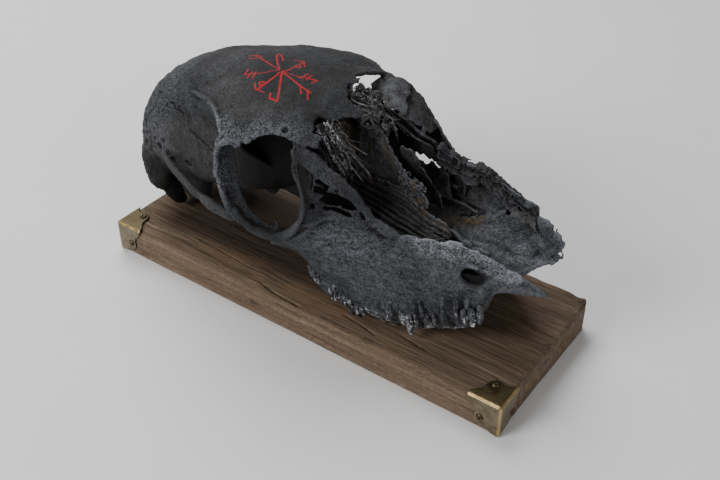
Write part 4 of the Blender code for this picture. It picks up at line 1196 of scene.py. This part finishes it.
def tornNear():  # strands, loops and spongy sheets between the forehead's near break and the floor of the nose
    edge = np.array([(2, -38, 177), (4, -35, 178), (7, -31, 178), (10, -28, 178), (12, -26, 177)], float)
    sheet = np.array([(-4, -36, 172), (2, -32, 172), (8, -28, 172)], float)
    corner = [(0, -48, 160), (4, -44, 162), (6, -40, 166)]
    parts = [spongySheet(edge, strandsWay, 26, 110, 0.46, 4.5), spongySheet(sheet, strandsWay, 30, 120, 0.44, 4.5)]
    parts += fibres(edge, strandsWay, 190, (10, 36), 151, (0.35, 0.95), 0.09)
    parts += fibres(edge + (-5, 3, -7), strandsWay, 90, (14, 38), 155, (0.35, 0.8), 0.14)
    parts += fibres(corner, (0.5, 0.1, -0.85), 14, (8, 20), 156, (0.25, 0.5), 0.18)
    parts += curls((12, -27, 171), (4, 3, 5), 18, 157, (1.4, 3.2), 0.6) + curls((8, -34, 168), (5, 4, 6), 10, 158)
    parts += curls((14, -20, 174), (7, 5, 2), 10, 159, (1.0, 2.2), 0.5)
    parts.append(uprightSheet([(0, 112), (-4, 160), (16, 165), (30, 163), (36, 155), (39, 149), (50, 139), (58, 131),
                               (70, 121), (78, 112), (74, 104), (56, 113), (36, 115), (17, 112)], 9.0, 1.5, 160,
                              holes=0.10, cell=7.0, wave=1.6))
    parts += curls((62, 8, 123), (6, 0.6, 4.5), 130, 154, (0.7, 1.6), 0.42)
    parts.append(floorSlope())
    noseFloor = [(60, 0, 104), (76, -6, 99), (92, -8, 94)]
    return parts + fibres(noseFloor, (0.93, -0.05, -0.36), 26, (14, 34), 161, (0.3, 0.6), 0.06)


def tornFar():  # torn sheets, strands and loops over the far half of the nose, its ribbed wall and its flaking edge
    breakLine = [(0, 18, 184), (4, 8, 182), (12, 0, 180)]
    boneEdge = [(6, 30, 178), (18, 26, 172), (28, 20, 165)]
    parts = farBridge()
    parts += fibres(breakLine, (0.70, 0.35, -0.62), 60, (6, 20), 152, (0.3, 0.7), 0.3)
    parts += curls((10, 14, 180), (7, 7, 2), 16, 153, (1.0, 2.4), 0.6)
    parts += fibres(boneEdge, (0.75, 0.1, -0.65), 44, (6, 20), 164, (0.3, 0.8), 0.18)
    parts.append(uprightSheet([(44, 148), (52, 146), (60, 136), (70, 124), (78, 110), (80, 98), (66, 100), (58, 116),
                               (50, 130), (42, 142)], 26.0, 1.6, 170, lean=-0.12))
    wall = gridThrough([[(24, 30, 164), (36, 30, 157), (46, 31, 151), (56, 36, 146)],
                        [(26, 38, 156), (38, 40, 148), (50, 41, 142), (60, 43, 138)],
                        [(24, 44, 146), (38, 45, 140), (50, 44, 138), (60, 45, 133)],
                        [(26, 47, 134), (38, 47, 127), (50, 46, 126), (64, 46, 123)]], 80, 110)
    flat = wall.reshape(-1, 3)
    ribs = 0.5 * np.sin(flat[:, 2] * 1.9 + flat[:, 0] * 1.5 + 2.6 * softNoise(flat, 12, 171))
    ribs = ribs + roughNoise(flat, 5, 4, 172)
    wall = moved(wall, ribs, (0, -0.8, 0.6))
    parts.append(plate(wall, 1.5, ragged(wall, ["start", "end", "low", "high"], 3.0, 4.0, 173)))
    ridge = [(60, 44, 104), (66, 42, 100), (78, 41, 99), (91, 41, 99), (104, 38, 99)]
    parts.append(rod(ridge, (0.9, 1.3, 1.5, 1.3, 0.8), sides=10, count=60))
    parts.append(rod([(86, 49, 100), (87, 47, 112), (88, 44, 126)], (0.8, 1.2, 0.7), sides=10))
    edge = np.array([(58, 50, 143), (72, 51, 138), (88, 52, 133.5), (98, 51, 137), (110, 50, 134), (125, 48, 128),
                     (140, 46, 123), (152, 44, 121)], float)
    for shift, drop, wall, seed in (((0, 0, 0), (3, -8, -3), 1.2, 504), ((2, -3, -4), (2, -7, -4), 1.1, 505),
                                    ((4, -7, -8), (3, -6, -6), 1.0, 507)):
        base = spline(edge + shift, 230)
        sway, dip = 1.2 * roughNoise(base, 9, 3, seed), 0.9 * roughNoise(base, 7, 3, seed + 9)
        base = base + np.stack([0 * base[:, 0], sway, dip], axis=1)
        t = np.linspace(0, 1, 60)[None, :, None]
        flake = base[:, None] + t * np.array(drop, float)
        rough = 0.6 * roughNoise(flake.reshape(-1, 3) / np.array([5.0, 1, 1]), 2.6, 3, seed + 4)
        flake = flake + rough.reshape(230, 60)[..., None] * (0, 0.3, 1) * t
        parts.append(plate(flake, wall, ragged(flake, ["start", "end", "low", "high"], 3.0, 3.0, seed)))
    return parts


def tornPiece(name, parts, shades):  # thin solids melted into one piece, with its colouring
    made = newMesh(name, *together(parts), tornFinish)
    clean(made)
    fuse(made, tornLook["cell"])
    settle(made, 1)
    points = places(made)
    setPlaces(made, points + outward(made) * (0.16 * roughNoise(points, 2.4, 2, 201))[:, None])
    thin(made, tornLook["triangles"])
    smooth(made)
    points = places(made)
    ridge = ridgeShare(made, 2, 0.35)
    spread(made, "ridge", ridge)
    for mask, values in shades(points, ridge).items():
        spread(made, mask, np.clip(values, 0, 1))
    onRoot(made, "blackened_bone")


# painted shade in the deep cavity, in hollows and in the gaps between the strands
def nearShades(points, ridge):  # silver strands over brown and ochre depths, dusty where they reach the floor
    x, y, z = points.T
    strands = points - 0.86 * (points @ strandsWay)[:, None] * strandsWay
    patch = rise(roughNoise(strands, 2.6, 2, 202), -0.25, 0.45)
    mass = fall(lineDistance(points, [(4, -35, 174), (14, -32, 160), (24, -30, 146), (28, -29, 138)]), 7, 15)
    deep = fall(eggDistance(points, (16, -10, 150), (20, 17, 22)), 0.5, 1.1) * (1 - mass)
    slope = fall(y, -2, 6) * rise(x, 4, 12) * fall(z, 116, 122)
    silver = 1.3 * mass * (0.08 + 0.92 * patch) * rise(ridge, 0.30, 0.55)
    return {"dust": 0.40 + 0.2 * patch - 0.25 * slope + 0.34 * rise(y, 2, 6),
            "warm": 0.85 * (1 - mass),
            "streak": 0.7 * rise(y, -40, -4),
            "silver": silver + 0.12 * rise(ridge, 0.6, 0.85) * (1 - mass),
            "ochre": 0.85 * (1 - mass) * rise(roughNoise(points, 7.0, 3, 203), -0.4, 0.6) * (1 - slope),
            "shade": 0.65 * deep + 0.8 * rise(0.62 - ridge, 0.02, 0.3) * (0.4 + 0.6 * np.maximum(mass, slope))
            + 0.75 * mass * (1 - patch)}


# painted shade in the hollows
def farShades(points, ridge):  # dusty and streaked, silver where it is freshly torn, black along the flaking edge
    patch = rise(roughNoise(points, 8.0, 2, 204), -0.3, 0.5)
    rim = rise(points[:, 0], 54, 62) * rise(points[:, 2], 112, 117)
    torn = fall(lineDistance(points, [(2, 22, 184), (8, 8, 181), (22, 14, 172)]), 8, 18)
    return {"dust": 0.52 + 0.2 * patch - 0.44 * rim,
            "warm": 0.6 - 0.5 * rim,
            "streak": np.full(len(points), 0.8),
            "silver": 0.5 * torn * patch + 0.3 * rise(ridge, 0.62, 0.9),
            "ochre": 0.25 * (1 - rim),
            "shade": 0.8 * rise(0.62 - ridge, 0.02, 0.3)}


tornPiece("tornNearBone", tornNear(), nearShades)
tornPiece("tornFarBone", tornFar(), farShades)
print("torn bone finished")


# The oak board

boardLook = {"grain": 0.8, "lines": 0.35, "wear": 1.3, "farCorner": 11.0, "edge": 3.2}
halfLength, halfWidth = 195.0, 75.0
boardCracks = [  # the places that each crack runs through, its half-width and its depth
    ([(-34, -66, 30), (-18, -69, 30), (8, -71, 30)], 1.5, 3.5), ([(-12, -75, 24), (14, -75, 22)], 1.4, 3.0),
    ([(44, -58, 30), (60, -60, 30), (78, -64, 30)], 1.3, 1.6), ([(92, -52, 30), (118, -55, 30)], 1.2, 1.5),
    ([(-120, -50, 30), (-70, -54, 30)], 1.0, 1.6), ([(150, 20, 30), (195, 14, 30)], 1.0, 1.6),
    ([(195, -20, 20), (195, 30, 17)], 0.9, 1.3)]


def stretched(points, along, across, seed, layers=2):  # noise drawn out along X, like grain
    return roughNoise(points / np.array([along, across, across]), 1.0, layers, seed)


def boardShape():
    # The section's rounded outline carried along X, then drawn in step by step to a slit at both ends; the first
    # of those steps follow a quarter of a circle, so the end edges are rounded too.
    edge, middle = boardLook["edge"], boardTop / 2
    inner = halfWidth - edge
    top, side = np.linspace(-inner, inner, 186), np.linspace(edge, boardTop - edge, 30)
    quarter = np.linspace(0, math.pi / 2, 5)[1:-1]
    sine, cosine = edge * np.sin(quarter), edge * np.cos(quarter)
    section = np.concatenate([np.stack(run, axis=1) for run in (
        (top, np.full(186, boardTop)), (inner + sine, boardTop - edge + cosine),
        (np.full(30, halfWidth), side[::-1]), (inner + cosine, edge - sine),
        (top[::-1], np.zeros(186)), (-inner - sine, edge - cosine),
        (np.full(30, -halfWidth), side), (-inner - cosine, boardTop - edge + sine))])
    steps = np.array([15.0, 13.0, 11, 9, 7.4, 6, 4.8, 3.8, 3.0, 2.3, 1.6, 1.0, 0.5, 0.15])
    rounding = 3.0 - np.sqrt(np.clip(9 - (3 - np.clip(steps, 0, 3)) ** 2, 0, 9))
    end = -halfLength + rounding
    x = np.concatenate([end, np.linspace(-192, 192, 168), -end[::-1]])
    inset = np.concatenate([steps, np.zeros(168), steps[::-1]])[:, None]
    y = section[:, 0] * (1 - inset / halfWidth)
    z = middle + (section[:, 1] - middle) * (1 - inset / middle)
    return np.stack([np.broadcast_to(x[:, None], y.shape), y, z], axis=2)


def boardPiece():
    # The shape pushed in along its normals by grain (the sharp crests of drawn-out noise), finer lines, worn
    # edges, cracks, a knot hole and a chip; its far corners are rounded off.
    grid = boardShape()
    made = newMesh("oakBoard", grid.reshape(-1, 3), tubeFaces(*grid.shape[:2]), woodFinish)
    clean(made)
    points, normals = places(made), outward(made)
    x, y, z = points.T
    radius = boardLook["farCorner"]
    corner = np.clip(np.hypot(np.clip(x - (halfLength - radius), 0, 99),
                              np.clip(y - (halfWidth - radius), 0, 99)) - radius, 0, 9)
    points[:, :2] -= corner[:, None] * 0.75
    bend = 1.6 + 3.0 * rise(x, 60, 150)
    warp = points + np.stack([0 * x, bend * softNoise(points, 55, 3) + 0.5 * softNoise(points, 14, 4), 0 * x], axis=1)
    ridged = 1 - np.abs(stretched(warp, 120, 1.7, 10))
    grain = rise(ridged, 0.82, 1.0) * (0.2 + 0.6 * rise(softNoise(points, 40, 9), -0.3, 0.7))
    grain = grain * (1 - 0.6 * rise(np.abs(y), 72, 74))
    lines = rise(1 - np.abs(stretched(warp, 70, 1.5, 20, 1)), 0.7, 1.0)
    onEnd = rise(np.abs(x), 192.5, 194.5)
    outer = np.minimum(np.minimum(halfWidth - np.abs(y), halfLength - np.abs(x)) + np.minimum(boardTop - z, z), 30)
    wear = fall(outer, 0, 9) * rise(roughNoise(points, 22, 3, 30), -0.3, 0.9)
    groove = np.clip(0.6 * grain + 0.45 * lines, 0, 1) * (1 - 0.6 * onEnd)
    sink = boardLook["grain"] * grain * (1 - 0.7 * onEnd) + boardLook["lines"] * lines + boardLook["wear"] * wear
    sink += 0.25 + 0.25 * softNoise(points, 30, 31)
    for path, width, depth in boardCracks:
        cut = fall(lineDistance(warp, path), 0.2, width)
        sink += depth * cut
        groove = np.maximum(groove, cut)
    hole = fall(np.hypot(x - 181, y + 50), 1.6, 3.2) * rise(z, 20, 29)
    groove = np.maximum(groove, hole)
    chip = fall(np.linalg.norm(points - (184, 71, 30), axis=1), 2, 7)
    sink += 4.5 * hole
    sink += 2.2 * chip
    points -= normals * sink[:, None] * rise(z, 0.4, 3.0)[:, None]
    points[:, 2] = np.clip(points[:, 2], 0, boardTop)
    setPlaces(made, points)
    spread(made, "groove", groove)
    spread(made, "mottled", rise(np.abs(y), 70, 74) * (1 - onEnd))  # the long side faces
    onTop = rise(z, 20, 29)
    # painted shadow under the skull's footprint, and painted shade towards the end at plus X, on the top only
    under = np.clip(fall(np.abs((x + 40) / 150), 0.72, 1) * fall(np.abs(y), 34, 60), 0, 1)
    spread(made, "soot", np.clip(under + 0.35 * rise(x, 80, 140), 0, 1) * onTop)
    spread(made, "tan", 0.7 * onTop * fall(np.hypot((x + 20) / 130, (y + 54) / 16), 0.4, 1.0))
    smooth(made)
    onRoot(made, "weathered_oak", "board")


boardPiece()
print("board finished")


# Corner brackets and their screws

bracketLook = {"wall": 1.3, "bend": 2.6, "cell": 0.42}
bracketReach = np.array([196.4, 76.4, 31.4])  # outer faces, from the board's middle and its underside

topLeaf = [(0, 0), (28, 0), (27, 4.5), (23.5, 8.5), (20.8, 12), (20.6, 16), (19.5, 20), (16.5, 22.6), (12.5, 23),
           (9, 22.2), (5.5, 23), (2.5, 25.5), (0, 27.5)]
sideLeaf = [(0, 0), (28, 0), (27.6, 3.5), (25, 7.5), (21.8, 10.5), (20.4, 14), (20.8, 18), (19.5, 22), (16, 24.8),
            (11.5, 26.4), (5.5, 28.2), (0, 29.8)]


def leaf(outline, corner, first, second):
    # A flat sheet: steps along two ways from the bracket's corner, cut to an outline given in those steps.
    a, b = np.meshgrid(np.linspace(0, 30.4, 120), np.linspace(0, 30.4, 120), indexing="ij")
    grid = corner + a[..., None] * np.array(first) + b[..., None] * np.array(second)
    middles = cellMiddles(np.stack([a, b, 0 * a], axis=2)).reshape(-1, 3)
    fine = spline(outline[1:], 60)
    keep = insideOutline(middles[:, 0], middles[:, 1], np.vstack([[(-1, -1), (28, -1)], fine, [(-1, 28)]]))
    return plate(grid, bracketLook["wall"], keep.reshape(119, 119))


def bracketPiece(name, end, node):
    # Three leaves melted together; their outer edges and corner are rounded by drawing each place in to the
    # sphere or cylinder round the nearest place that lies a bend's radius further in.
    inset = bracketLook["wall"] / 2
    corner = np.array([end * (bracketReach[0] - inset), -bracketReach[1] + inset, bracketReach[2] - inset])
    inwards, across, down = (-end, 0, 0), (0, 1, 0), (0, 0, -1)
    solids = [leaf(topLeaf, corner, inwards, across), leaf(sideLeaf, corner, inwards, down),
              leaf(sideLeaf, corner, across, down)]
    made = newMesh(name, *together(solids), brassFinish)
    clean(made)
    fuse(made, bracketLook["cell"])
    settle(made, 4)
    points = places(made)
    bend = bracketLook["bend"]
    low, high = -bracketReach * (1, 1, 0), bracketReach * (1, 0, 1)
    inner = np.clip(points, low + (bend, bend, 1.2), high + (-bend, 90, -bend))
    away = points - inner
    reach = np.linalg.norm(away, axis=1) + 1e-9
    points = inner + away * (np.abs(away).max(axis=1) / reach)[:, None]
    points += outward(made) * (0.10 * roughNoise(points, 5.0, 2, 41))[:, None]
    setPlaces(made, points)
    depths = bracketReach - np.stack([end * points[:, 0], -points[:, 1], points[:, 2]], axis=1)
    secondNearest = np.sort(depths, axis=1)[:, 1]  # small only where two outer faces meet
    # painted shade on faces that look up; the bends bright with wear and a painted highlight
    spread(made, "patina", rise(outward(made)[:, 2], 0.6, 0.9))
    spread(made, "rubbed", fall(secondNearest, 0.6, 2.6) * (0.75 + 0.25 * softNoise(points, 3, 6)))
    smooth(made, 50)
    onRoot(made, "aged_brass", node)


bracketPiece("frontBracket", 1, "bracket_front")
bracketPiece("rearBracket", -1, "bracket_rear")
print("brackets finished")


def screwPiece(name, place, facing, node, turn):
    # The outline of a domed head with a sunk, slotted middle and a shank, turned about its axis.
    outline = np.array([(0.01, 0.55), (0.5, 0.55), (0.9, 0.75), (1.1, 1.15), (1.6, 1.35), (2.3, 1.15), (2.85, 0.65),
                        (3.05, 0.1), (3.0, -0.05), (1.3, -0.1), (1.3, -9.5), (0.5, -10.6), (0.01, -10.8)])
    sides = 48
    around = np.linspace(0, 2 * math.pi, sides, endpoint=False)
    radius, height = outline[:, :1], outline[:, 1:]
    x, y = radius * np.cos(around), radius * np.sin(around)
    slot = (np.abs(np.sin(around + turn)) * radius < 0.5) & (height > 0.3) & (radius < 2.4)
    z = height - 0.55 * slot
    facing = np.asarray(facing, float)
    beside = np.array([0, 0, 1.0]) if abs(facing[2]) < 0.5 else np.array([1.0, 0, 0])
    other = np.cross(facing, beside)
    points = np.asarray(place, float) + x[..., None] * beside + y[..., None] * other + z[..., None] * facing
    made = newMesh(name, points.reshape(-1, 3), tubeFaces(len(outline), sides), steelFinish)
    clean(made)
    smooth(made, 40)
    onRoot(made, "dark_steel", node)


screwPlaces = [((181, -57.5, 31.4), (0, 0, 1)), ((180, -76.4, 13.5), (0, -1, 0)), ((196.4, -56.5, 12), (1, 0, 0))]
for number, (spot, facing) in enumerate(screwPlaces, 1):
    for word, end, turn in (("front", 1, 0.7), ("rear", -1, 1.1)):
        screwPiece(f"{word}Screw{number}", np.array(spot) * (end, 1, 1), np.array(facing) * (end, 1, 1),
                   f"screw_{word}_{number}", turn * number)
print("screws finished")


# Broken cheek teeth

toothLook = {"height": 15.6, "chips": 3.2, "burnt": (0.008, 0.007, 0.006), "brown": (0.050, 0.036, 0.024),
             "ivory": (0.34, 0.31, 0.26)}
toothRows = [  # x, half-width of the row, length, width, height of the foot, turn in degrees
             (140, 31, 15, 10, 50, 20), (121, 38, 17, 12, 41, 18), (101, 44, 18, 14, 35, 14), (78, 48, 20, 15, 30.3, 8),
             (53, 50, 22, 15, 30.3, 0), (28, 46, 21, 14, 34, -8)]


def toothMaterial():
    # Burnt enamel: black and brown, with ivory left on the worn rims.
    made, shader, maker, where = newMaterial("burntEnamel", Roughness=0.32, Specular_IOR_Level=0.5)
    broad, fine = maker.noise(where, 4.5, 4.0, 0.7), maker.noise(where, (0.8, 0.8, 4.0), 3.0, 0.7)
    ridge = maker.mask("ridge")
    colour = maker.blend(maker.slope(broad, 0.36, 0.66), toothLook["burnt"], toothLook["brown"])
    rim = maker.times(maker.slope(maker.plus(ridge, maker.times(fine, 0.5)), 0.80, 1.0), 0.6)
    colour = maker.blend(rim, colour, toothLook["ivory"])
    coverWith(maker, shader, colour, 0.5, 0.5, fine)
    return made


toothFinish = toothMaterial()


def toothPiece(name, side, x, half, length, width, low, turn, node, seed):
    # A column of two fluted lobes: a rounded square (a circle over the root of the powers of its sine and cosine)
    # with a waist; its foot is a broken crown with two crescent hollows, chipped by noise.
    tall, sides, column = toothLook["height"], 84, 24
    around = np.linspace(0, 2 * math.pi, sides, endpoint=False)
    level = np.concatenate([np.linspace(0.02, 1, 16), np.ones(column), np.linspace(1, 0.02, 6)])[:, None]
    height = np.concatenate([np.zeros(16), np.linspace(0, tall, column), np.full(6, tall)])[:, None]
    c, s = np.cos(around), np.sin(around)
    reach = 1 / (np.abs(c) ** 3.2 + np.abs(s) ** 3.2) ** (1 / 3.2)
    waist = 1 - 0.16 * np.exp(-(np.abs(c) / 0.22) ** 2)
    taper = 1 - 0.10 * height / tall
    a = level * reach * c * (length / 2 - 0.3) * taper
    b = level * reach * s * waist * (width / 2 - 0.3) * taper
    hollows = [np.abs(np.hypot(a + shift, b) - width * 0.22) for shift in (-length / 4, length / 4)]
    foot = (height <= 0.01) & (level < 0.93)
    z = height + foot * 2.0 * rise(np.minimum(*hollows), 0.2, 1.6)
    points = np.stack([a, b, z], axis=2).reshape(-1, 3)
    spots = points + 37.0 * seed
    points[:, 2] += rise(roughNoise(spots, 7.0, 3, seed), 0.1, 0.9) * toothLook["chips"] * fall(points[:, 2], 1, 6)
    shrink = 1 - 0.07 * rise(roughNoise(spots, 3.0, 3, seed + 3), -0.4, 1.0) - 0.03 * fall(points[:, 2], 0, 5)
    points[:, :2] *= shrink[:, None]
    angle = -side * math.radians(turn)
    turned = points[:, 0] * math.cos(angle) - points[:, 1] * math.sin(angle)
    across = points[:, 0] * math.sin(angle) + points[:, 1] * math.cos(angle)
    points = np.stack([turned + x, across + skullMiddle + side * half, points[:, 2] + low], axis=1)
    made = newMesh(name, points, tubeFaces(len(level), sides), toothFinish)
    clean(made)
    smooth(made, 55)
    spread(made, "ridge", ridgeShare(made, 3, 0.5))
    onRoot(made, "tooth_enamel", node)


for side, word in ((near, "right"), (far, "left")):
    for number, row in enumerate(toothRows, 1):
        toothPiece(f"{word}Tooth{number}", side, *row, f"{word}_tooth_{number}", 10 * number + side)


rootStubs = [  # bottom and top of each broken root or splinter that stands along the jaw's edge, and its thickness
    ((10, -54, 49), (6, -54, 57), 2.0), ((15, -54, 45), (11, -54, 55), 2.3),
    ((20, -54, 42), (16, -54, 53), 2.0), ((25, -54, 39), (21, -54, 51), 2.4),
    ((30, -54, 37), (26, -54, 50), 1.9), ((35, -54, 37), (31, -54, 51), 2.5),
    ((40, -54, 37), (36, -54, 47), 2.0), ((45, -54, 35), (42, -54, 44), 2.6),
    ((49, -54, 31), (47, -54, 42), 2.8), ((55, -54, 31), (52, -53, 41), 2.6),
    ((61, -54, 35), (57, -54, 43), 2.4), ((67, -54, 40), (63, -54, 46), 2.0),
    ((84, -54, 41), (84, -54, 58), 3.0), ((97, -52, 43), (93, -52, 52), 2.4), ((104, -51, 36), (99, -51, 50), 2.6),
    ((107, -50, 41), (105, -50, 54), 1.6), ((106, -51, 52), (103, -51, 66), 1.2), ((112, -49, 55), (107, -49, 67), 1.4),
    ((114, -47, 47), (112, -47, 56), 2.0), ((120, -45, 49), (118, -45, 57), 2.0), ((128, -43, 52), (125, -43, 59), 2.0),
    ((127, -46, 66), (125, -46, 77), 1.4), ((136, -41, 57), (133, -41, 75), 1.7), ((143, -38, 54), (138, -38, 67), 2.6),
    ((147, -36, 55), (144, -36, 69), 2.8), ((152, -33, 57), (149, -33, 72), 2.6)]


def stubPiece():
    # Rods pressed flat by turns, melted together, then roughened along their length and most at their broken feet.
    solids = []
    for number, (bottom, top, thick) in enumerate(rootStubs):
        bottom, top = np.array(bottom), np.array(top) + (0, 1.0, 1)
        path = [bottom, bottom * 0.7 + top * 0.3, bottom * 0.3 + top * 0.7, top]
        solids.append(rod(path, (thick * 0.55, thick * 0.95, thick * 1.05, thick * 0.8), sides=14, count=18,
                          flat=0.7 + 0.35 * (number % 3)))
    made = newMesh("rightRootStubs", *together(solids), tornFinish)
    clean(made)
    fuse(made, 0.5)
    points = places(made)
    drawn = points / np.array([1.0, 1.0, 3.0])
    raised = 0.55 * roughNoise(drawn, 2.2, 2, 401) + 0.7 * fall(points[:, 2], 36, 48) * roughNoise(points, 3.0, 2, 402)
    points = points + outward(made) * raised[:, None]
    points[:, 2] = np.maximum(points[:, 2], boardTop + 0.3)
    setPlaces(made, points)
    smooth(made)
    points = places(made)
    spread(made, "ridge", ridgeShare(made, 3, 0.5))
    spread(made, "dust", 0.72 + 0.25 * roughNoise(points, 5.0, 2, 403))
    burnished = np.maximum(fall(points[:, 2], 46, 60), rise(points[:, 0], 128, 138) * fall(points[:, 2], 62, 70))
    spread(made, "silver", burnished * rise(roughNoise(points, 4.0, 2, 404), -0.1, 0.5))
    spread(made, "warm", rise(roughNoise(points, 9.0, 2, 405), 0.0, 0.6))
    # on the roots the shade share is a random dark tone of the charring, not shade
    spread(made, "shade", 0.8 * rise(roughNoise(points, 3.0, 2, 406), 0.1, 0.7))
    onRoot(made, "blackened_bone")


stubPiece()
print("teeth finished")


# Stage, light and camera

def paleFloor():
    side = 3000.0
    floor = newMesh("floor", np.array([(-side, -side, 0), (side, -side, 0), (side, side, 0), (-side, side, 0)]),
                    np.array([[0, 1, 2, 3]]))
    finish, shader, maker, where = newMaterial("floorPaper", Roughness=0.9)
    grey = maker.blend(maker.noise(where, 90, 3.0), (0.83, 0.83, 0.83), (0.88, 0.88, 0.88))
    join(maker, grey, shader.inputs["Base Color"])
    floor.data.materials.append(finish)


paleFloor()

# metres, worked out from the board's straight edges in the photo
cameraView = {"place": (0.39619, -0.52477, 0.53915), "right": (0.81122, 0.58474, 0.0),
              "up": (-0.34947, 0.48483, 0.80176), "lens": 48.72}


def photoCamera():
    data = bpy.data.cameras.new("photoView")
    data.lens = cameraView["lens"]
    data.sensor_width = 36.0
    made = bpy.data.objects.new("photoView", data)
    bpy.context.scene.collection.objects.link(made)
    right, up = Vector(cameraView["right"]), Vector(cameraView["up"])
    turn = Matrix((right, up, right.cross(up))).transposed().to_4x4()
    made.matrix_world = Matrix.Translation(Vector(cameraView["place"])) @ turn
    bpy.context.scene.camera = made


photoCamera()

softLights = [("backPanel", (-1.0, 0.7, 1.6), 1.5, 32.0),  # place and size in metres, power in watts
              ("frontPanel", (-0.7, -1.6, 1.2), 1.0, 30.0), ("rightPanel", (1.6, -0.5, 0.9), 0.8, 5.0)]


def studioLight():
    for name, place, size, power in softLights:
        data = bpy.data.lights.new(name, "AREA")
        data.shape = "DISK"
        data.size = size
        data.energy = power
        made = bpy.data.objects.new(name, data)
        bpy.context.scene.collection.objects.link(made)
        away = Vector(place) - Vector((0.0, 0.0, 0.08))
        made.matrix_world = Matrix.Translation(Vector(place)) @ away.to_track_quat("Z", "Y").to_matrix().to_4x4()
    world = bpy.data.worlds.new("studio")
    world.use_nodes = True
    sky = world.node_tree.nodes["Background"].inputs
    sky["Color"].default_value, sky["Strength"].default_value = (1, 1, 1, 1), 0.22
    bpy.context.scene.world = world


studioLight()
